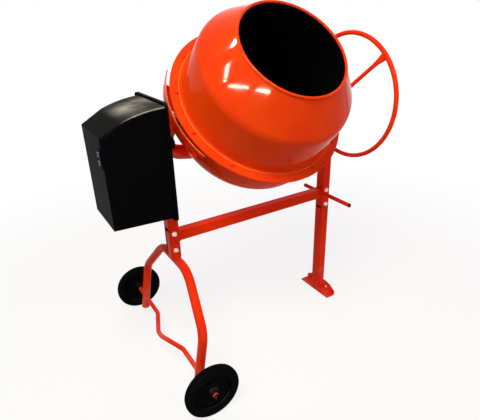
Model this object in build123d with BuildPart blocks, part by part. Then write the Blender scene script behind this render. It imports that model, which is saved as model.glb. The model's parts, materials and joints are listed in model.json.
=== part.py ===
from build123d import *
from math import cos, pi, radians, sin, sqrt, tan
import os

# Electric concrete mixer: a two-part steel drum that spins in a tilting yoke, between the posts of a
# stand with two wheels and a foot. Millimetres, +Z up, +X from the motor to the hand wheel, the
# drum's mouth towards -Y. The origin is on the floor under the middle of the whole machine.

# ---------------------------------------------------------------- driving dimensions
# Layout
tilt_height = 916.0  # tilt axis above the floor
mix_angle = 44.8  # drum axis above the horizontal, at rest
wheel_side_room = 38.5  # drum's flange from the wheel-side post's centreline
foot_side_room = 41.5  # drum's flange from the foot-side post's centreline
pivot_drop = 65.0  # tilt axis below the flange joint, along the drum axis
housing_reach = 225.5  # outer face of the motor cover from the wheel-side post's centreline

# Clearances
running_fit = 0.06  # radial, a turning shaft in its bearing
seat_fit = 0.05  # radial, a pressed or welded round seat
hole_fit = 0.3  # radial, a bolt in its hole
seat_gap = 0.2  # curved faces that are welded to one another
slide_fit = 0.25  # each side, a sliding or telescoping piece

# Posts, beam and leg
post_x = 40.0
post_y = 44.5
tube_wall = 2.5
tube_corner = 4.0
post_foot = 430.0  # lower end of both posts
splice_top = 543.0  # upper end of the tubes that stand inside the posts
slot_height = 9.0  # open slot where a post's outer web stops
leg_slot_height = 440.0
beam_height = 39.0
beam_depth = 40.0
beam_z = 513.5
splice_bolt_heights = (529.0, 461.5)

# Foot and lift handle
foot_length = 191.0
foot_width = 46.0
foot_thickness = 5.0
gusset_height = 45.0  # ears above the foot plate, beside the leg
gusset_knee_reach = 63.0  # where an ear's upper edge turns down, from the leg's middle
gusset_knee_height = 37.0
gusset_toe = 17.0  # height of an ear's outer end
gusset_thickness = 5.0
gusset_hole = 6.5
gusset_hole_reach = 39.0
gusset_hole_height = 13.0
handle_gap = 0.5  # lift handle clear of the foot-side post
handle_z = 523.0
handle_radius = 8.5
handle_wall = 1.6
handle_front = 194.0
handle_back = 86.5

# Wheel hoop, axle and wheels
hoop_radius = 16.8
hoop_wall = 2.6
hoop_top = 421.0
hoop_shoulder = 111.0  # half width where the legs start to slope
hoop_half_width = 267.0
hoop_knee_height = 258.0  # height where the legs turn upright
hoop_foot = 50.0
hoop_shoulder_bend = 120.0
hoop_knee_bend = 100.0
axle_lean = 54.5  # axle from the wheel-side post's centreline
axle_radius = 9.0
axle_wall = 3.5
step_depth = 42.0  # the axle's bend between the legs
step_half_top = 15.0
step_half_base = 128.0
step_bend = 45.0
tyre_radius = 100.0
tyre_width = 31.0
tyre_section = 27.0
tyre_seat_half = 11.2  # half width where the tyre sits on its hub
wheel_y = 362.0
wheel_boss_radius = 19.0
wheel_boss_width = 38.0
wheel_disc = 5.0
washer_radius = 15.0
washer_thickness = 2.0
axle_end = 6.0  # axle beyond the outer washer
pin_radius = 1.6
pin_reach = 13.5  # split pin above and below the axle's middle

# Drum
shell_wall = 3.0
cone_wall = 2.5
bowl_radius = 287.0
wall_set_in = 3.0  # foot of the upper shell's wall inside the bowl's outside
shoulder_set_in = 12.5  # top of that wall inside the bowl's outside
flange_width = 35.5  # from the bowl's outside to the flanges' edge
flange_sheet = 3.0
bowl_depth = 205.0
bowl_corner = 108.0
wall_height = 160.0  # where the wall and the cone would meet
shoulder_bend = 25.0
mouth_height = 264.0
mouth_set_in = 103.0  # mouth inside the bowl's outside
rim_bead = 4.5
flange_bolt_room = 15.0  # flange bolts outside the bowl
flange_bolt_count = 12

# Ring gear and pinion
ring_teeth = 120
pinion_teeth = 12
pitch_room = 13.0  # ring gear's pitch circle outside the bowl
addendum = 3.5
dedendum = 4.5
ring_root_extra = 0.5
tooth_share = 0.21  # half thickness of a tooth at the pitch line, in pitches
pressure_angle = 20.0
ring_gap = 2.5  # ring gear's bore outside the bowl
ring_width = 24.5
face_width = 19.0
ring_web = 6.0
pinion_hub_radius = 13.0
pinion_side_gap = 1.0  # pinion clear of the ring gear's ends
tip_relief = 0.85  # share of a pinion tooth's width left at its tip
pinion_shaft_radius = 8.5

# Mixing blades
blade_count = 2
blade_first_angle = 265.0
blade_slant = 20.0
blade_thickness = 4.0
blade_depth = 78.0
blade_low = -88.0
blade_high = 92.0
blade_taper = 0.7  # length of a blade's inner edge over its outer edge
blade_bolt_room = 1.0  # a blade's outer edge clear of the bolt in its upper foot
blade_tab = 30.0
blade_bolt_reach = 66.0  # blade feet above and below the flange joint
blade_bolt_side = 5.0  # bolt off the middle of its foot
blade_neck = 10.0

# Hub and spindle
spindle_radius = 15.0
hub_radius = 42.0
hub_bolt_room = 30.0  # hub bolts outside the hub
hub_flange_edge = 20.0  # hub's flange outside its bolts
hub_flange = 8.0
hub_drop = 22.0  # hub below the bowl's bottom
hub_rise = 55.0  # hub above the bowl's bottom
hub_cap = 8.0
bearing_radius = 31.0
bearing_width = 16.0
bearing_race = 4.5  # thickness of a bearing's inner and outer rings
bearing_recess = 2.0
hub_bolt_count = 6

# Yoke
yoke_width = 50.0
yoke_depth = 24.0
yoke_web = 5.0
yoke_flange = 4.0
yoke_gap = 1.5  # between a post and the yoke's arm
yoke_bottom = 303.0  # outside of the yoke below the flange joint
yoke_elbow = 198.0
yoke_elbow_in = 78.0
yoke_elbow_drop = 272.0
yoke_flat_half = 160.0
yoke_elbow_bend = 70.0
yoke_flat_bend = 90.0
collar_radius = 20.0
trunnion_radius = 24.0
trunnion_inner = 20.0
pinion_bearing_width = 12.0
head_radius = 36.0
handle_shaft_radius = 15.0
right_head_radius = 30.0

# Gear guard
guard_room = 14.0  # guard's outside beyond the flanges
guard_sheet = 2.5
guard_half_angle = 30.0
guard_top = 3.0
guard_tip = 14.0  # width left at the guard's pointed ends

# Hand wheel, index disc and lock
rim_radius = 248.0
rim_tube = 9.0
rim_plane_offset = 110.5  # ring plane from the foot-side post's centreline
spoke_radius = 8.0
spoke_angle = 135.4
hand_hub_start = 38.0
hand_hub_length = 24.0
hand_hub_radius = 25.0
stud_radius = 8.0
stud_nut_half = 12.0
stud_nut_height = 10.0
head_plate = 4.0
head_plate_half = 45.0
head_plate_drop = 156.0
head_plate_neck = 118.0
disc_offset = 30.0
disc_thickness = 6.0
disc_radius = 75.0
notch_depth = 13.0
pin_lock_radius = 5.0
pin_lock_travel = 12.0
pin_lock_gap = 1.5
guide_top = 95.0
guide_bottom = 140.0
guide_half = 9.5
knob_radius = 8.5
knob_length = 26.0
tilt_down = 80.0  # tipping forwards from rest
tilt_back = -170.0  # tipping over to the other side from rest

# Motor, belt and housing
base_half = 133.0
base_drop = 286.0  # back plate's lower edge below the tilt axis
base_rise = 101.0  # back plate's upper edge above the tilt axis
base_depth = 10.0
base_sheet = 3.0
base_corner = 16.0
base_hole = 26.5
cover_front_half = 110.0
cover_back_half = 128.0
cover_drop = 274.0  # cover's underside below the tilt axis
brow_rise = 24.0  # top of the upright outer face above the tilt axis
cover_break_reach = 153.8  # where the slanted front meets the rounded top
cover_break_rise = 63.7
cover_rise = 90.0
cover_wall = 3.0
cover_round = 9.0
cover_crown = 20.0  # slope of the rounded top where it meets the slanted front, degrees
cover_play = 0.3
boss_radius = 6.0
boss_length = 20.0
screw_radius = 2.0
belt_centres = 171.0  # motor's axis below the tilt axis
motor_radius = 60.0
motor_near = 95.0  # drive end of the motor from the wheel-side post's centreline
motor_far = 200.0
motor_rib = 4.0
motor_grooves = 7
motor_foot_height = 12.0
motor_foot_half = 42.0
shelf_thickness = 3.0
shelf_half = 58.0
shaft_radius = 7.0
belt_width = 14.0
belt_thickness = 4.0
belt_offset = 62.0
big_pulley_radius = 75.0
small_pulley_radius = 15.0
pulley_lip = 3.5
pulley_lip_width = 2.0
belt_gap = 0.3
clamp_knob_radius = 20.0
clamp_knob_length = 16.0
knob_side = 103.0
knob_drop = 27.0
knob_grip_radius = 4.0

# Switch and power inlet
switch_y = -84.0
switch_drop = 41.5  # switch's middle below the tilt axis
switch_width = 30.0
switch_height = 62.0
switch_plate = 2.5
switch_depth = 26.0
switch_rim = 3.0
button_width = 17.0
button_height = 16.0
button_pitch = 26.0
button_proud = 3.5
button_travel = 3.0
button_depth = 9.0
button_round = 1.0
inlet_radius = 20.0
inlet_depth = 26.0
inlet_flange = 24.0
inlet_flange_thickness = 2.0
inlet_x = 150.0
inlet_pin_radius = 2.4
inlet_pin_inset = 6.0

# Fasteners
bolt_radius = 4.0
bolt_head = 6.5  # half the width across the flats
bolt_head_height = 5.5
bolt_washer = 9.0
bolt_washer_thickness = 1.6

# ---------------------------------------------------------------- derived places
wall_radius = bowl_radius - wall_set_in
shoulder_radius = bowl_radius - shoulder_set_in
flange_radius = bowl_radius + flange_width
mouth_radius = bowl_radius - mouth_set_in
flange_bolt_radius = bowl_radius + flange_bolt_room
hub_bolt_radius = hub_radius + hub_bolt_room
hub_flange_radius = hub_bolt_radius + hub_flange_edge
ring_inner = bowl_radius + ring_gap
ring_outer = ring_inner + ring_width
guard_radius = flange_radius + guard_room
drum_offset = flange_radius + wheel_side_room
post_spacing = drum_offset + flange_radius + foot_side_room

rim_reach = rim_plane_offset + rim_tube
left_reach = housing_reach + switch_plate + button_proud
left_x = left_reach - (left_reach + post_spacing + rim_reach) / 2
right_x = left_x + post_spacing
drum_x = left_x + drum_offset
handle_x = right_x - post_x / 2 - handle_gap - handle_radius
axle_x = left_x - axle_lean
axle_z = tyre_radius

tilt_point = Vector(drum_x, 0, tilt_height)
drum_dir = Vector(0, -cos(radians(mix_angle)), sin(radians(mix_angle)))
flange_centre = tilt_point + drum_dir * pivot_drop
drum_axis = Axis(flange_centre, drum_dir)

ring_pitch = bowl_radius + pitch_room
pinion_pitch = ring_pitch * pinion_teeth / ring_teeth
pitch_height = pinion_pitch - pivot_drop
tooth_pitch = 2 * pi * ring_pitch / ring_teeth
inside_bowl = bowl_radius - shell_wall
inside_wall = wall_radius - cone_wall
left_arm = drum_offset - post_x / 2 - yoke_gap  # drum axis to the outside of each yoke arm
right_arm = post_spacing - drum_offset - post_x / 2 - yoke_gap

motor_z = tilt_height - belt_centres
base_low = tilt_height - base_drop
base_high = tilt_height + base_rise
cover_low = tilt_height - cover_drop
cover_brow = tilt_height + brow_rise
cover_break_z = tilt_height + cover_break_rise
cover_top = tilt_height + cover_rise
switch_z = tilt_height - switch_drop


def drum_plane(height):
    """Square to the drum axis, at a height above the flange joint."""
    return Plane(origin=flange_centre + drum_dir * height, x_dir=(1, 0, 0), z_dir=drum_dir)


def radial_plane(turn=0.0):
    """Through the drum axis: x is the radius, y the height above the flange joint."""
    across = Vector(1, 0, 0).rotate(Axis((0, 0, 0), drum_dir), turn)
    return Plane(origin=flange_centre, x_dir=across, z_dir=across.cross(drum_dir))


def across_plane(x, y=0.0, z=0.0):
    """Square to X: the sketch's x is Y and its y is Z."""
    return Plane(origin=(x, y, z), x_dir=(0, 1, 0), z_dir=(1, 0, 0))


def facing_plane(y, x=0.0, z=0.0):
    """Square to Y and facing -Y: the sketch's x is X and its y is Z."""
    return Plane(origin=(x, y, z), x_dir=(1, 0, 0), z_dir=(0, -1, 0))


def tube_section(x_size, y_size, wall, corner):
    """Hollow rectangle, drawn in the sketch that calls this."""
    RectangleRounded(x_size, y_size, corner)
    RectangleRounded(x_size - 2 * wall, y_size - 2 * wall, corner - wall / 2, mode=Mode.SUBTRACT)


def ring_section(outer, inner):
    """Annulus, drawn in the sketch that calls this."""
    Circle(outer)
    Circle(inner, mode=Mode.SUBTRACT)


def hex_bolt(plane, shank, washer=bolt_washer_thickness):
    """Bolt whose washer lies on a plane, with its head above and its shank going down through it."""
    with BuildPart() as bolt:
        with BuildSketch(plane.offset(washer)):
            RegularPolygon(bolt_head, 6, major_radius=False)
        extrude(amount=bolt_head_height)
        if washer:
            with BuildSketch(plane):
                Circle(bolt_washer)
            extrude(amount=washer)
        with BuildSketch(plane):
            Circle(bolt_radius)
        extrude(amount=-shank)
    return bolt.part


def hex_nut(plane):
    """Nut on a washer that lies on a plane, bored to clear its bolt."""
    with BuildPart() as nut:
        with BuildSketch(plane):
            Circle(bolt_washer)
        extrude(amount=bolt_washer_thickness)
        with BuildSketch(plane.offset(bolt_washer_thickness)):
            RegularPolygon(bolt_head, 6, major_radius=False)
        extrude(amount=bolt_head_height)
        with BuildSketch(plane):
            Circle(bolt_radius + seat_fit)
        extrude(amount=bolt_washer_thickness + bolt_head_height, mode=Mode.SUBTRACT)
    return nut.part


def save(builder, name):
    """Label a finished piece and write it."""
    builder.part.label = name
    export_step(builder.part, f"parts/{name}.step")


os.makedirs("parts", exist_ok=True)

# ---------------------------------------------------------------- stand: posts, beam, leg
splice_x = post_x - 2 * tube_wall - 2 * slide_fit
splice_y = post_y - 2 * tube_wall - 2 * slide_fit
hoop_centre = (left_x, 0, hoop_top)


def post(x, head, cut_low, cut_high):
    """Upright tube, coped under its bearing boss, its outer web cut away between two heights."""
    with BuildPart() as upright:
        with BuildSketch(Plane.XY.offset(post_foot)):
            with Locations((x, 0)):
                tube_section(post_x, post_y, tube_wall, tube_corner)
        extrude(amount=tilt_height - post_foot)
        with BuildSketch(across_plane(x, 0, tilt_height)):
            Circle(head + seat_gap)
        extrude(amount=post_x, both=True, mode=Mode.SUBTRACT)
        with BuildSketch(facing_plane(0, x - post_x / 2, (cut_low + cut_high) / 2)):
            Rectangle(2 * tube_wall, cut_high - cut_low)
        extrude(amount=splice_y / 2 + slide_fit, both=True, mode=Mode.SUBTRACT)
        for height in splice_bolt_heights:
            with BuildSketch(facing_plane(0, x, height)):
                Circle(bolt_radius + hole_fit)
            extrude(amount=post_y, both=True, mode=Mode.SUBTRACT)
        with BuildSketch(facing_plane(0, left_x, hoop_top)):
            Circle(hoop_radius + seat_gap)
        extrude(amount=post_y, both=True, mode=Mode.SUBTRACT)
    return upright


def splice_tube(x, low, slot_low):
    """Inner tube that stands in a post's lower end, slotted through its outer web, coped over the hoop."""
    with BuildPart() as tube:
        with BuildSketch(Plane.XY.offset(low)):
            with Locations((x, 0)):
                tube_section(splice_x, splice_y, tube_wall, tube_corner - tube_wall / 2)
        extrude(amount=splice_top - low)
        with BuildSketch(facing_plane(0, x - splice_x / 2, slot_low + slot_height / 2)):
            Rectangle(2 * tube_wall, slot_height)
        extrude(amount=splice_y / 2 - tube_wall, both=True, mode=Mode.SUBTRACT)
        for height in splice_bolt_heights:
            with BuildSketch(facing_plane(0, x, height)):
                Circle(bolt_radius + hole_fit)
            extrude(amount=post_y, both=True, mode=Mode.SUBTRACT)
        with BuildSketch(facing_plane(0, left_x, hoop_top)):
            Circle(hoop_radius + seat_gap)
        extrude(amount=post_y, both=True, mode=Mode.SUBTRACT)
    return tube


left_post = post(left_x, head_radius, post_foot, splice_top + slot_height)
save(left_post, "left_post")

right_post = post(right_x, right_head_radius, leg_slot_height, leg_slot_height + slot_height)
save(right_post, "right_post")

leg_socket = splice_tube(left_x, hoop_top, splice_top - slot_height)
save(leg_socket, "leg_socket")

with BuildPart() as right_leg:
    add(splice_tube(right_x, post_foot - tube_wall, leg_slot_height).part)
    with BuildSketch(Plane.XY.offset(post_foot - tube_wall)):
        with Locations((right_x, 0)):
            tube_section(post_x, post_y, 2 * tube_wall, tube_corner)
    extrude(amount=tube_wall)
    with BuildSketch(Plane.XY.offset(foot_thickness)):
        with Locations((right_x, 0)):
            tube_section(post_x, post_y, tube_wall, tube_corner)
    extrude(amount=post_foot - foot_thickness)
save(right_leg, "right_leg")

with BuildPart() as cross_beam:
    with BuildSketch(across_plane(left_x + post_x / 2, 0, beam_z)):
        tube_section(beam_depth, beam_height, tube_wall, tube_corner)
    extrude(amount=post_spacing - post_x)
    with BuildSketch(facing_plane(0, handle_x, handle_z)):
        Circle(handle_radius + seat_gap)
    extrude(amount=beam_depth, both=True, mode=Mode.SUBTRACT)
save(cross_beam, "cross_beam")

with BuildPart() as lift_handle:
    with BuildSketch(facing_plane(handle_back, handle_x, handle_z)):
        ring_section(handle_radius, handle_radius - handle_wall)
    extrude(amount=handle_front + handle_back)
save(lift_handle, "lift_handle")

with BuildPart() as foot_plate:
    with BuildSketch():
        with Locations((right_x, 0)):
            RectangleRounded(foot_width, foot_length, tube_corner)
    extrude(amount=foot_thickness)
save(foot_plate, "foot_plate")

with BuildPart() as foot_gussets:
    with BuildSketch(across_plane(right_x + foot_width / 2)):
        for side in (-1, 1):
            with BuildLine():
                Polyline(
                    (side * post_y / 2, foot_thickness),
                    (side * foot_length / 2, foot_thickness),
                    (side * foot_length / 2, foot_thickness + gusset_toe),
                    (side * gusset_knee_reach, foot_thickness + gusset_knee_height),
                    (side * post_y / 2, foot_thickness + gusset_height),
                    close=True,
                )
            make_face()
            with Locations((side * gusset_hole_reach, foot_thickness + gusset_hole_height)):
                Circle(gusset_hole, mode=Mode.SUBTRACT)
    extrude(amount=-gusset_thickness)
save(foot_gussets, "foot_gussets")

with BuildPart() as frame_bolts:
    for x in (left_x, right_x):
        for height in splice_bolt_heights:
            add(hex_bolt(facing_plane(-post_y / 2, x, height), post_y + 2 * bolt_head))
            back = Plane(origin=(x, post_y / 2, height), x_dir=(1, 0, 0), z_dir=(0, 1, 0))
            add(hex_nut(back))
save(frame_bolts, "frame_bolts")

# ---------------------------------------------------------------- wheel hoop, axle, wheels
lean = Vector(axle_lean, 0, hoop_top - axle_z).normalized()
hoop_plane = Plane(origin=hoop_centre, x_dir=(0, 1, 0), z_dir=Vector(0, 1, 0).cross(lean))


def down_hoop(z):
    """Distance down the leaning hoop's plane to a height above the floor."""
    return -(hoop_top - z) / lean.Z


with BuildPart() as wheel_hoop:
    with BuildLine(hoop_plane) as hoop_path:
        FilletPolyline(
            (-hoop_half_width, down_hoop(hoop_foot)),
            (-hoop_half_width, down_hoop(hoop_knee_height)),
            (-hoop_shoulder, 0),
            (hoop_shoulder, 0),
            (hoop_half_width, down_hoop(hoop_knee_height)),
            (hoop_half_width, down_hoop(hoop_foot)),
            radius=[hoop_knee_bend, hoop_shoulder_bend, hoop_shoulder_bend, hoop_knee_bend],
        )
    with BuildSketch(hoop_path.line ^ 0):
        ring_section(hoop_radius, hoop_radius - hoop_wall)
    sweep()
    with BuildSketch(facing_plane(0, axle_x, axle_z)):
        Circle(axle_radius + seat_gap)
    extrude(amount=hoop_half_width + 2 * hoop_radius, both=True, mode=Mode.SUBTRACT)
save(wheel_hoop, "wheel_hoop")

axle_reach = wheel_y + wheel_boss_width / 2 + slide_fit + washer_thickness + axle_end
step_x = axle_x - step_depth
with BuildPart() as axle:
    with BuildLine(Plane.XY.offset(axle_z)) as axle_path:
        FilletPolyline(
            (axle_x, -axle_reach),
            (axle_x, -step_half_base),
            (step_x, -step_half_top),
            (step_x, step_half_top),
            (axle_x, step_half_base),
            (axle_x, axle_reach),
            radius=step_bend,
        )
    with BuildSketch(axle_path.line ^ 0):
        ring_section(axle_radius, axle_radius - axle_wall)
    sweep()
    for end in (axle.faces().sort_by(Axis.Y)[0], axle.faces().sort_by(Axis.Y)[-1]):
        chamfer(end.edges(), axle_radius / 8)
    for side in (-1, 1):
        with BuildSketch(Plane.XY.offset(axle_z)):
            with Locations((axle_x, side * (axle_reach - axle_end / 2))):
                Circle(pin_radius + seat_fit)
        extrude(amount=axle_radius, both=True, mode=Mode.SUBTRACT)
save(axle, "axle")

with BuildPart() as axle_washers:
    for side in (-1, 1):
        for face in (-1, 1):
            middle = side * wheel_y + face * (wheel_boss_width / 2 + slide_fit / 2 + washer_thickness / 2)
            with BuildSketch(facing_plane(middle, axle_x, axle_z)):
                ring_section(washer_radius, axle_radius + seat_fit)
            extrude(amount=washer_thickness / 2, both=True)
save(axle_washers, "axle_washers")

with BuildPart() as split_pins:
    for side in (-1, 1):
        with BuildSketch(Plane.XY.offset(axle_z)):
            with Locations((axle_x, side * (axle_reach - axle_end / 2))):
                Circle(pin_radius)
        extrude(amount=pin_reach, both=True)
save(split_pins, "split_pins")


def road_wheel(side, name):
    """Tyre and hub of one wheel, about the axle."""
    centre = Plane(origin=(axle_x, side * wheel_y, axle_z), x_dir=(0, 0, 1), z_dir=(1, 0, 0))
    spin = Axis(centre.origin, (0, 1, 0))
    seat = tyre_radius - tyre_section
    widest = seat + tyre_section / 2
    tread = tyre_radius - tyre_section / 4
    half = tyre_width / 2
    with BuildPart() as tyre:
        with BuildSketch(centre):
            with BuildLine():
                Polyline((tread, -half), (widest, -half), (seat, -tyre_seat_half))
                Polyline((seat, -tyre_seat_half), (seat, tyre_seat_half), (widest, half), (tread, half))
                ThreePointArc((tread, half), (tyre_radius, 0), (tread, -half))
            make_face()
        revolve(axis=spin)
    save(tyre, f"{name}_tyre")
    rim = seat - seat_gap
    with BuildPart() as hub:
        with BuildSketch(centre):
            with Locations(((axle_radius + running_fit + wheel_boss_radius) / 2, 0)):
                Rectangle(wheel_boss_radius - axle_radius - running_fit, wheel_boss_width)
            with Locations(((wheel_boss_radius + rim) / 2, 0)):
                Rectangle(rim - wheel_boss_radius + 2 * seat_gap, wheel_disc)
            with Locations((rim - wheel_disc / 2, 0)):
                Rectangle(wheel_disc, 2 * tyre_seat_half)
        revolve(axis=spin)
    save(hub, f"{name}_hub")


road_wheel(-1, "front_wheel")
road_wheel(1, "rear_wheel")

# ---------------------------------------------------------------- bearing heads and tilt lock
with BuildPart() as left_bearing_head:
    with BuildSketch(across_plane(left_x - post_x / 2, 0, tilt_height)):
        ring_section(head_radius, trunnion_radius + running_fit)
    extrude(amount=post_x)
save(left_bearing_head, "left_bearing_head")

with BuildPart() as right_bearing_head:
    with BuildSketch(across_plane(right_x - post_x / 2, 0, tilt_height)):
        ring_section(right_head_radius, handle_shaft_radius + running_fit)
    extrude(amount=post_x + head_plate)
save(right_bearing_head, "right_bearing_head")

plate_x = right_x + post_x / 2
with BuildPart() as lock_plate:
    with BuildSketch(across_plane(plate_x, 0, tilt_height)):
        with BuildLine():
            Polyline(
                (-head_plate_half, 0),
                (-head_plate_half, -head_plate_neck + head_plate_half / 2),
                (-post_y / 2, -head_plate_neck),
                (-post_y / 2, -head_plate_drop),
                (post_y / 2, -head_plate_drop),
                (post_y / 2, -head_plate_neck),
                (head_plate_half, -head_plate_neck + head_plate_half / 2),
                (head_plate_half, 0),
            )
            ThreePointArc((head_plate_half, 0), (0, head_plate_half), (-head_plate_half, 0))
        make_face()
        Circle(right_head_radius + seat_gap, mode=Mode.SUBTRACT)
    extrude(amount=head_plate)
save(lock_plate, "lock_plate")

lock_x = right_x + disc_offset + disc_thickness / 2
guide_length = guide_bottom - guide_top
with BuildPart() as lock_guide:
    with BuildSketch(Plane.XY.offset(tilt_height - guide_bottom)):
        guide_start = plate_x + head_plate
        guide_end = lock_x + guide_half
        with Locations(((guide_start + guide_end) / 2, 0)):
            Rectangle(guide_end - guide_start, 2 * guide_half)
        with Locations((lock_x, 0)):
            Circle(pin_lock_radius + running_fit, mode=Mode.SUBTRACT)
    extrude(amount=guide_length)
save(lock_guide, "lock_guide")

pin_top = tilt_height - disc_radius - pin_lock_gap
knob_top = tilt_height - guide_bottom - pin_lock_travel - pin_lock_gap
with BuildPart() as lock_pin:
    with BuildSketch(Plane.XY.offset(knob_top)):
        with Locations((lock_x, 0)):
            Circle(pin_lock_radius)
    extrude(amount=pin_top - knob_top)
    chamfer(lock_pin.faces().sort_by(Axis.Z)[-1].edges(), pin_lock_radius / 5)
save(lock_pin, "lock_pin")

with BuildPart() as lock_knob:
    with BuildSketch(Plane.XY.offset(knob_top - knob_length)):
        with Locations((lock_x, 0)):
            Circle(knob_radius)
    extrude(amount=knob_length)
    fillet(lock_knob.edges().filter_by(GeomType.CIRCLE), knob_radius / 4)
save(lock_knob, "lock_knob")

# ---------------------------------------------------------------- places of the mixing blades
tab_half = blade_tab / sqrt(2)  # from a foot's middle to its corner
tab_reach = blade_bolt_reach * sin(radians(blade_slant)) + tab_half
bolt_corner = bolt_head / cos(radians(30))


def blade_plane(index):
    """Plane of a slanted blade: x points out along a radius, y slants along the drum."""
    level = radial_plane(blade_first_angle + index * 360 / blade_count)
    square = level.z_dir.rotate(Axis((0, 0, 0), level.x_dir), blade_slant)
    return Plane(origin=flange_centre, x_dir=level.x_dir, z_dir=square)


def wall_at(height):
    """Outer radius of the upper shell's wall at a height above the flange joint."""
    return wall_radius - (wall_radius - shoulder_radius) * height / wall_height


def foot_seat(wall):
    """Distance from the drum axis to the outside of a blade's flat foot inside a round wall."""
    return sqrt((wall - seat_gap) ** 2 - tab_reach**2)


def head_seat(wall):
    """Distance from the drum axis to the underside of a blade bolt's head outside a round wall."""
    nearest = blade_bolt_reach * sin(radians(blade_slant)) - bolt_corner
    return sqrt((wall + seat_gap) ** 2 - nearest**2)


blade_feet = (
    (-blade_bolt_reach, foot_seat(inside_bowl)),
    (blade_bolt_reach, foot_seat(wall_at(blade_bolt_reach + tab_half) - cone_wall)),
)
upper_reach, upper_foot = blade_feet[-1]
upper_head = head_seat(wall_at(blade_bolt_reach * cos(radians(blade_slant)) - bolt_corner))
upper_shank = upper_head - upper_foot + blade_thickness + bolt_head_height + 2 * bolt_washer_thickness
blade_edge = upper_head - upper_shank - blade_bolt_room


def along_radius(flat, distance, reach, outward):
    """Plane square to a blade's x direction, under one of its bolts."""
    return Plane(
        origin=flat.from_local_coords((distance, reach + blade_bolt_side, 0)),
        x_dir=flat.y_dir,
        z_dir=flat.x_dir * outward,
    )


# ---------------------------------------------------------------- drum shells
with BuildPart() as drum_bowl:
    with BuildSketch(radial_plane()):
        with BuildLine():
            FilletPolyline(
                (bowl_radius, -flange_sheet),
                (bowl_radius, -bowl_depth),
                (hub_radius + seat_gap, -bowl_depth),
                radius=bowl_corner,
            )
            Line((hub_radius + seat_gap, -bowl_depth), (hub_radius + seat_gap, shell_wall - bowl_depth))
            FilletPolyline(
                (hub_radius + seat_gap, shell_wall - bowl_depth),
                (inside_bowl, shell_wall - bowl_depth),
                (inside_bowl, 0),
                radius=bowl_corner - shell_wall,
            )
            Polyline(
                (inside_bowl, 0),
                (flange_radius, 0),
                (flange_radius, -flange_sheet),
                (bowl_radius, -flange_sheet),
            )
        make_face()
    revolve(axis=drum_axis)
    with BuildSketch(drum_plane(0)):
        with PolarLocations(flange_bolt_radius, flange_bolt_count, 180 / flange_bolt_count):
            Circle(bolt_radius + hole_fit)
    extrude(amount=-flange_sheet, mode=Mode.SUBTRACT)
    with BuildSketch(drum_plane(-bowl_depth)):
        with PolarLocations(hub_bolt_radius, hub_bolt_count):
            Circle(bolt_radius + hole_fit)
    extrude(amount=shell_wall, mode=Mode.SUBTRACT)
save(drum_bowl, "drum_bowl")

cone_slope = (shoulder_radius - mouth_radius) / (mouth_height - wall_height)
cone_skew = cone_wall * (sqrt(1 + cone_slope**2) - 1) / cone_slope
with BuildPart() as drum_cone:
    with BuildSketch(radial_plane()):
        with BuildLine():
            Polyline(
                (inside_wall, 0),
                (flange_radius, 0),
                (flange_radius, flange_sheet),
                (wall_radius, flange_sheet),
            )
            FilletPolyline(
                (wall_radius, flange_sheet),
                (shoulder_radius, wall_height),
                (mouth_radius, mouth_height),
                radius=shoulder_bend,
            )
            Line((mouth_radius, mouth_height), (mouth_radius - cone_wall, mouth_height - cone_skew))
            FilletPolyline(
                (mouth_radius - cone_wall, mouth_height - cone_skew),
                (shoulder_radius - cone_wall, wall_height - cone_skew),
                (inside_wall, 0),
                radius=shoulder_bend - cone_wall,
            )
        make_face()
        with Locations((mouth_radius - cone_wall / 2, mouth_height)):
            Circle(rim_bead)
    revolve(axis=drum_axis)
    with BuildSketch(drum_plane(0)):
        with PolarLocations(flange_bolt_radius, flange_bolt_count, 180 / flange_bolt_count):
            Circle(bolt_radius + hole_fit)
    extrude(amount=flange_sheet, mode=Mode.SUBTRACT)
    for index in range(blade_count):
        with BuildSketch(along_radius(blade_plane(index), upper_foot, upper_reach, 1)):
            Circle(bolt_radius + hole_fit)
        extrude(amount=upper_head - upper_foot, mode=Mode.SUBTRACT)
save(drum_cone, "drum_cone")

# ---------------------------------------------------------------- ring gear and pinion
tooth_tip = pitch_height - addendum
tooth_root = pitch_height + dedendum + ring_root_extra
tooth_foot = dedendum + 3 * ring_root_extra
lean_per_height = tan(radians(pressure_angle))


def tooth_half(height):
    """Half thickness of a straight-sided tooth at a height from its pitch line towards its tip."""
    return tooth_share * tooth_pitch - height * lean_per_height


tooth_plane = Plane(
    origin=flange_centre + Vector(ring_inner, 0, 0),
    x_dir=Vector(1, 0, 0).cross(drum_dir),
    z_dir=(1, 0, 0),
)
with BuildPart() as ring_tooth:
    with BuildSketch(tooth_plane):
        with BuildLine():
            Polyline(
                (tooth_half(addendum), -tooth_tip),
                (tooth_half(-tooth_foot), -pitch_height - tooth_foot),
                (-tooth_half(-tooth_foot), -pitch_height - tooth_foot),
                (-tooth_half(addendum), -tooth_tip),
                close=True,
            )
        make_face()
    extrude(amount=face_width)

with BuildPart() as ring_gear:
    with BuildSketch(radial_plane()):
        with BuildLine():
            Polyline(
                (ring_inner, tooth_root),
                (ring_inner + face_width, tooth_root),
                (ring_inner + face_width, -flange_sheet - ring_web),
                (ring_outer, -flange_sheet - ring_web),
                (ring_outer, -flange_sheet),
                (ring_inner, -flange_sheet),
                close=True,
            )
        make_face()
    revolve(axis=drum_axis)
    teeth = [
        ring_tooth.part.rotate(drum_axis, (index + 0.5) * 360 / ring_teeth) for index in range(ring_teeth)
    ]
    add(teeth)
    with BuildSketch(drum_plane(-flange_sheet)):
        with PolarLocations(flange_bolt_radius, flange_bolt_count, 180 / flange_bolt_count):
            Circle(bolt_radius + seat_fit)
    extrude(amount=-2 * ring_web, mode=Mode.SUBTRACT)
save(ring_gear, "ring_gear")

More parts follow.
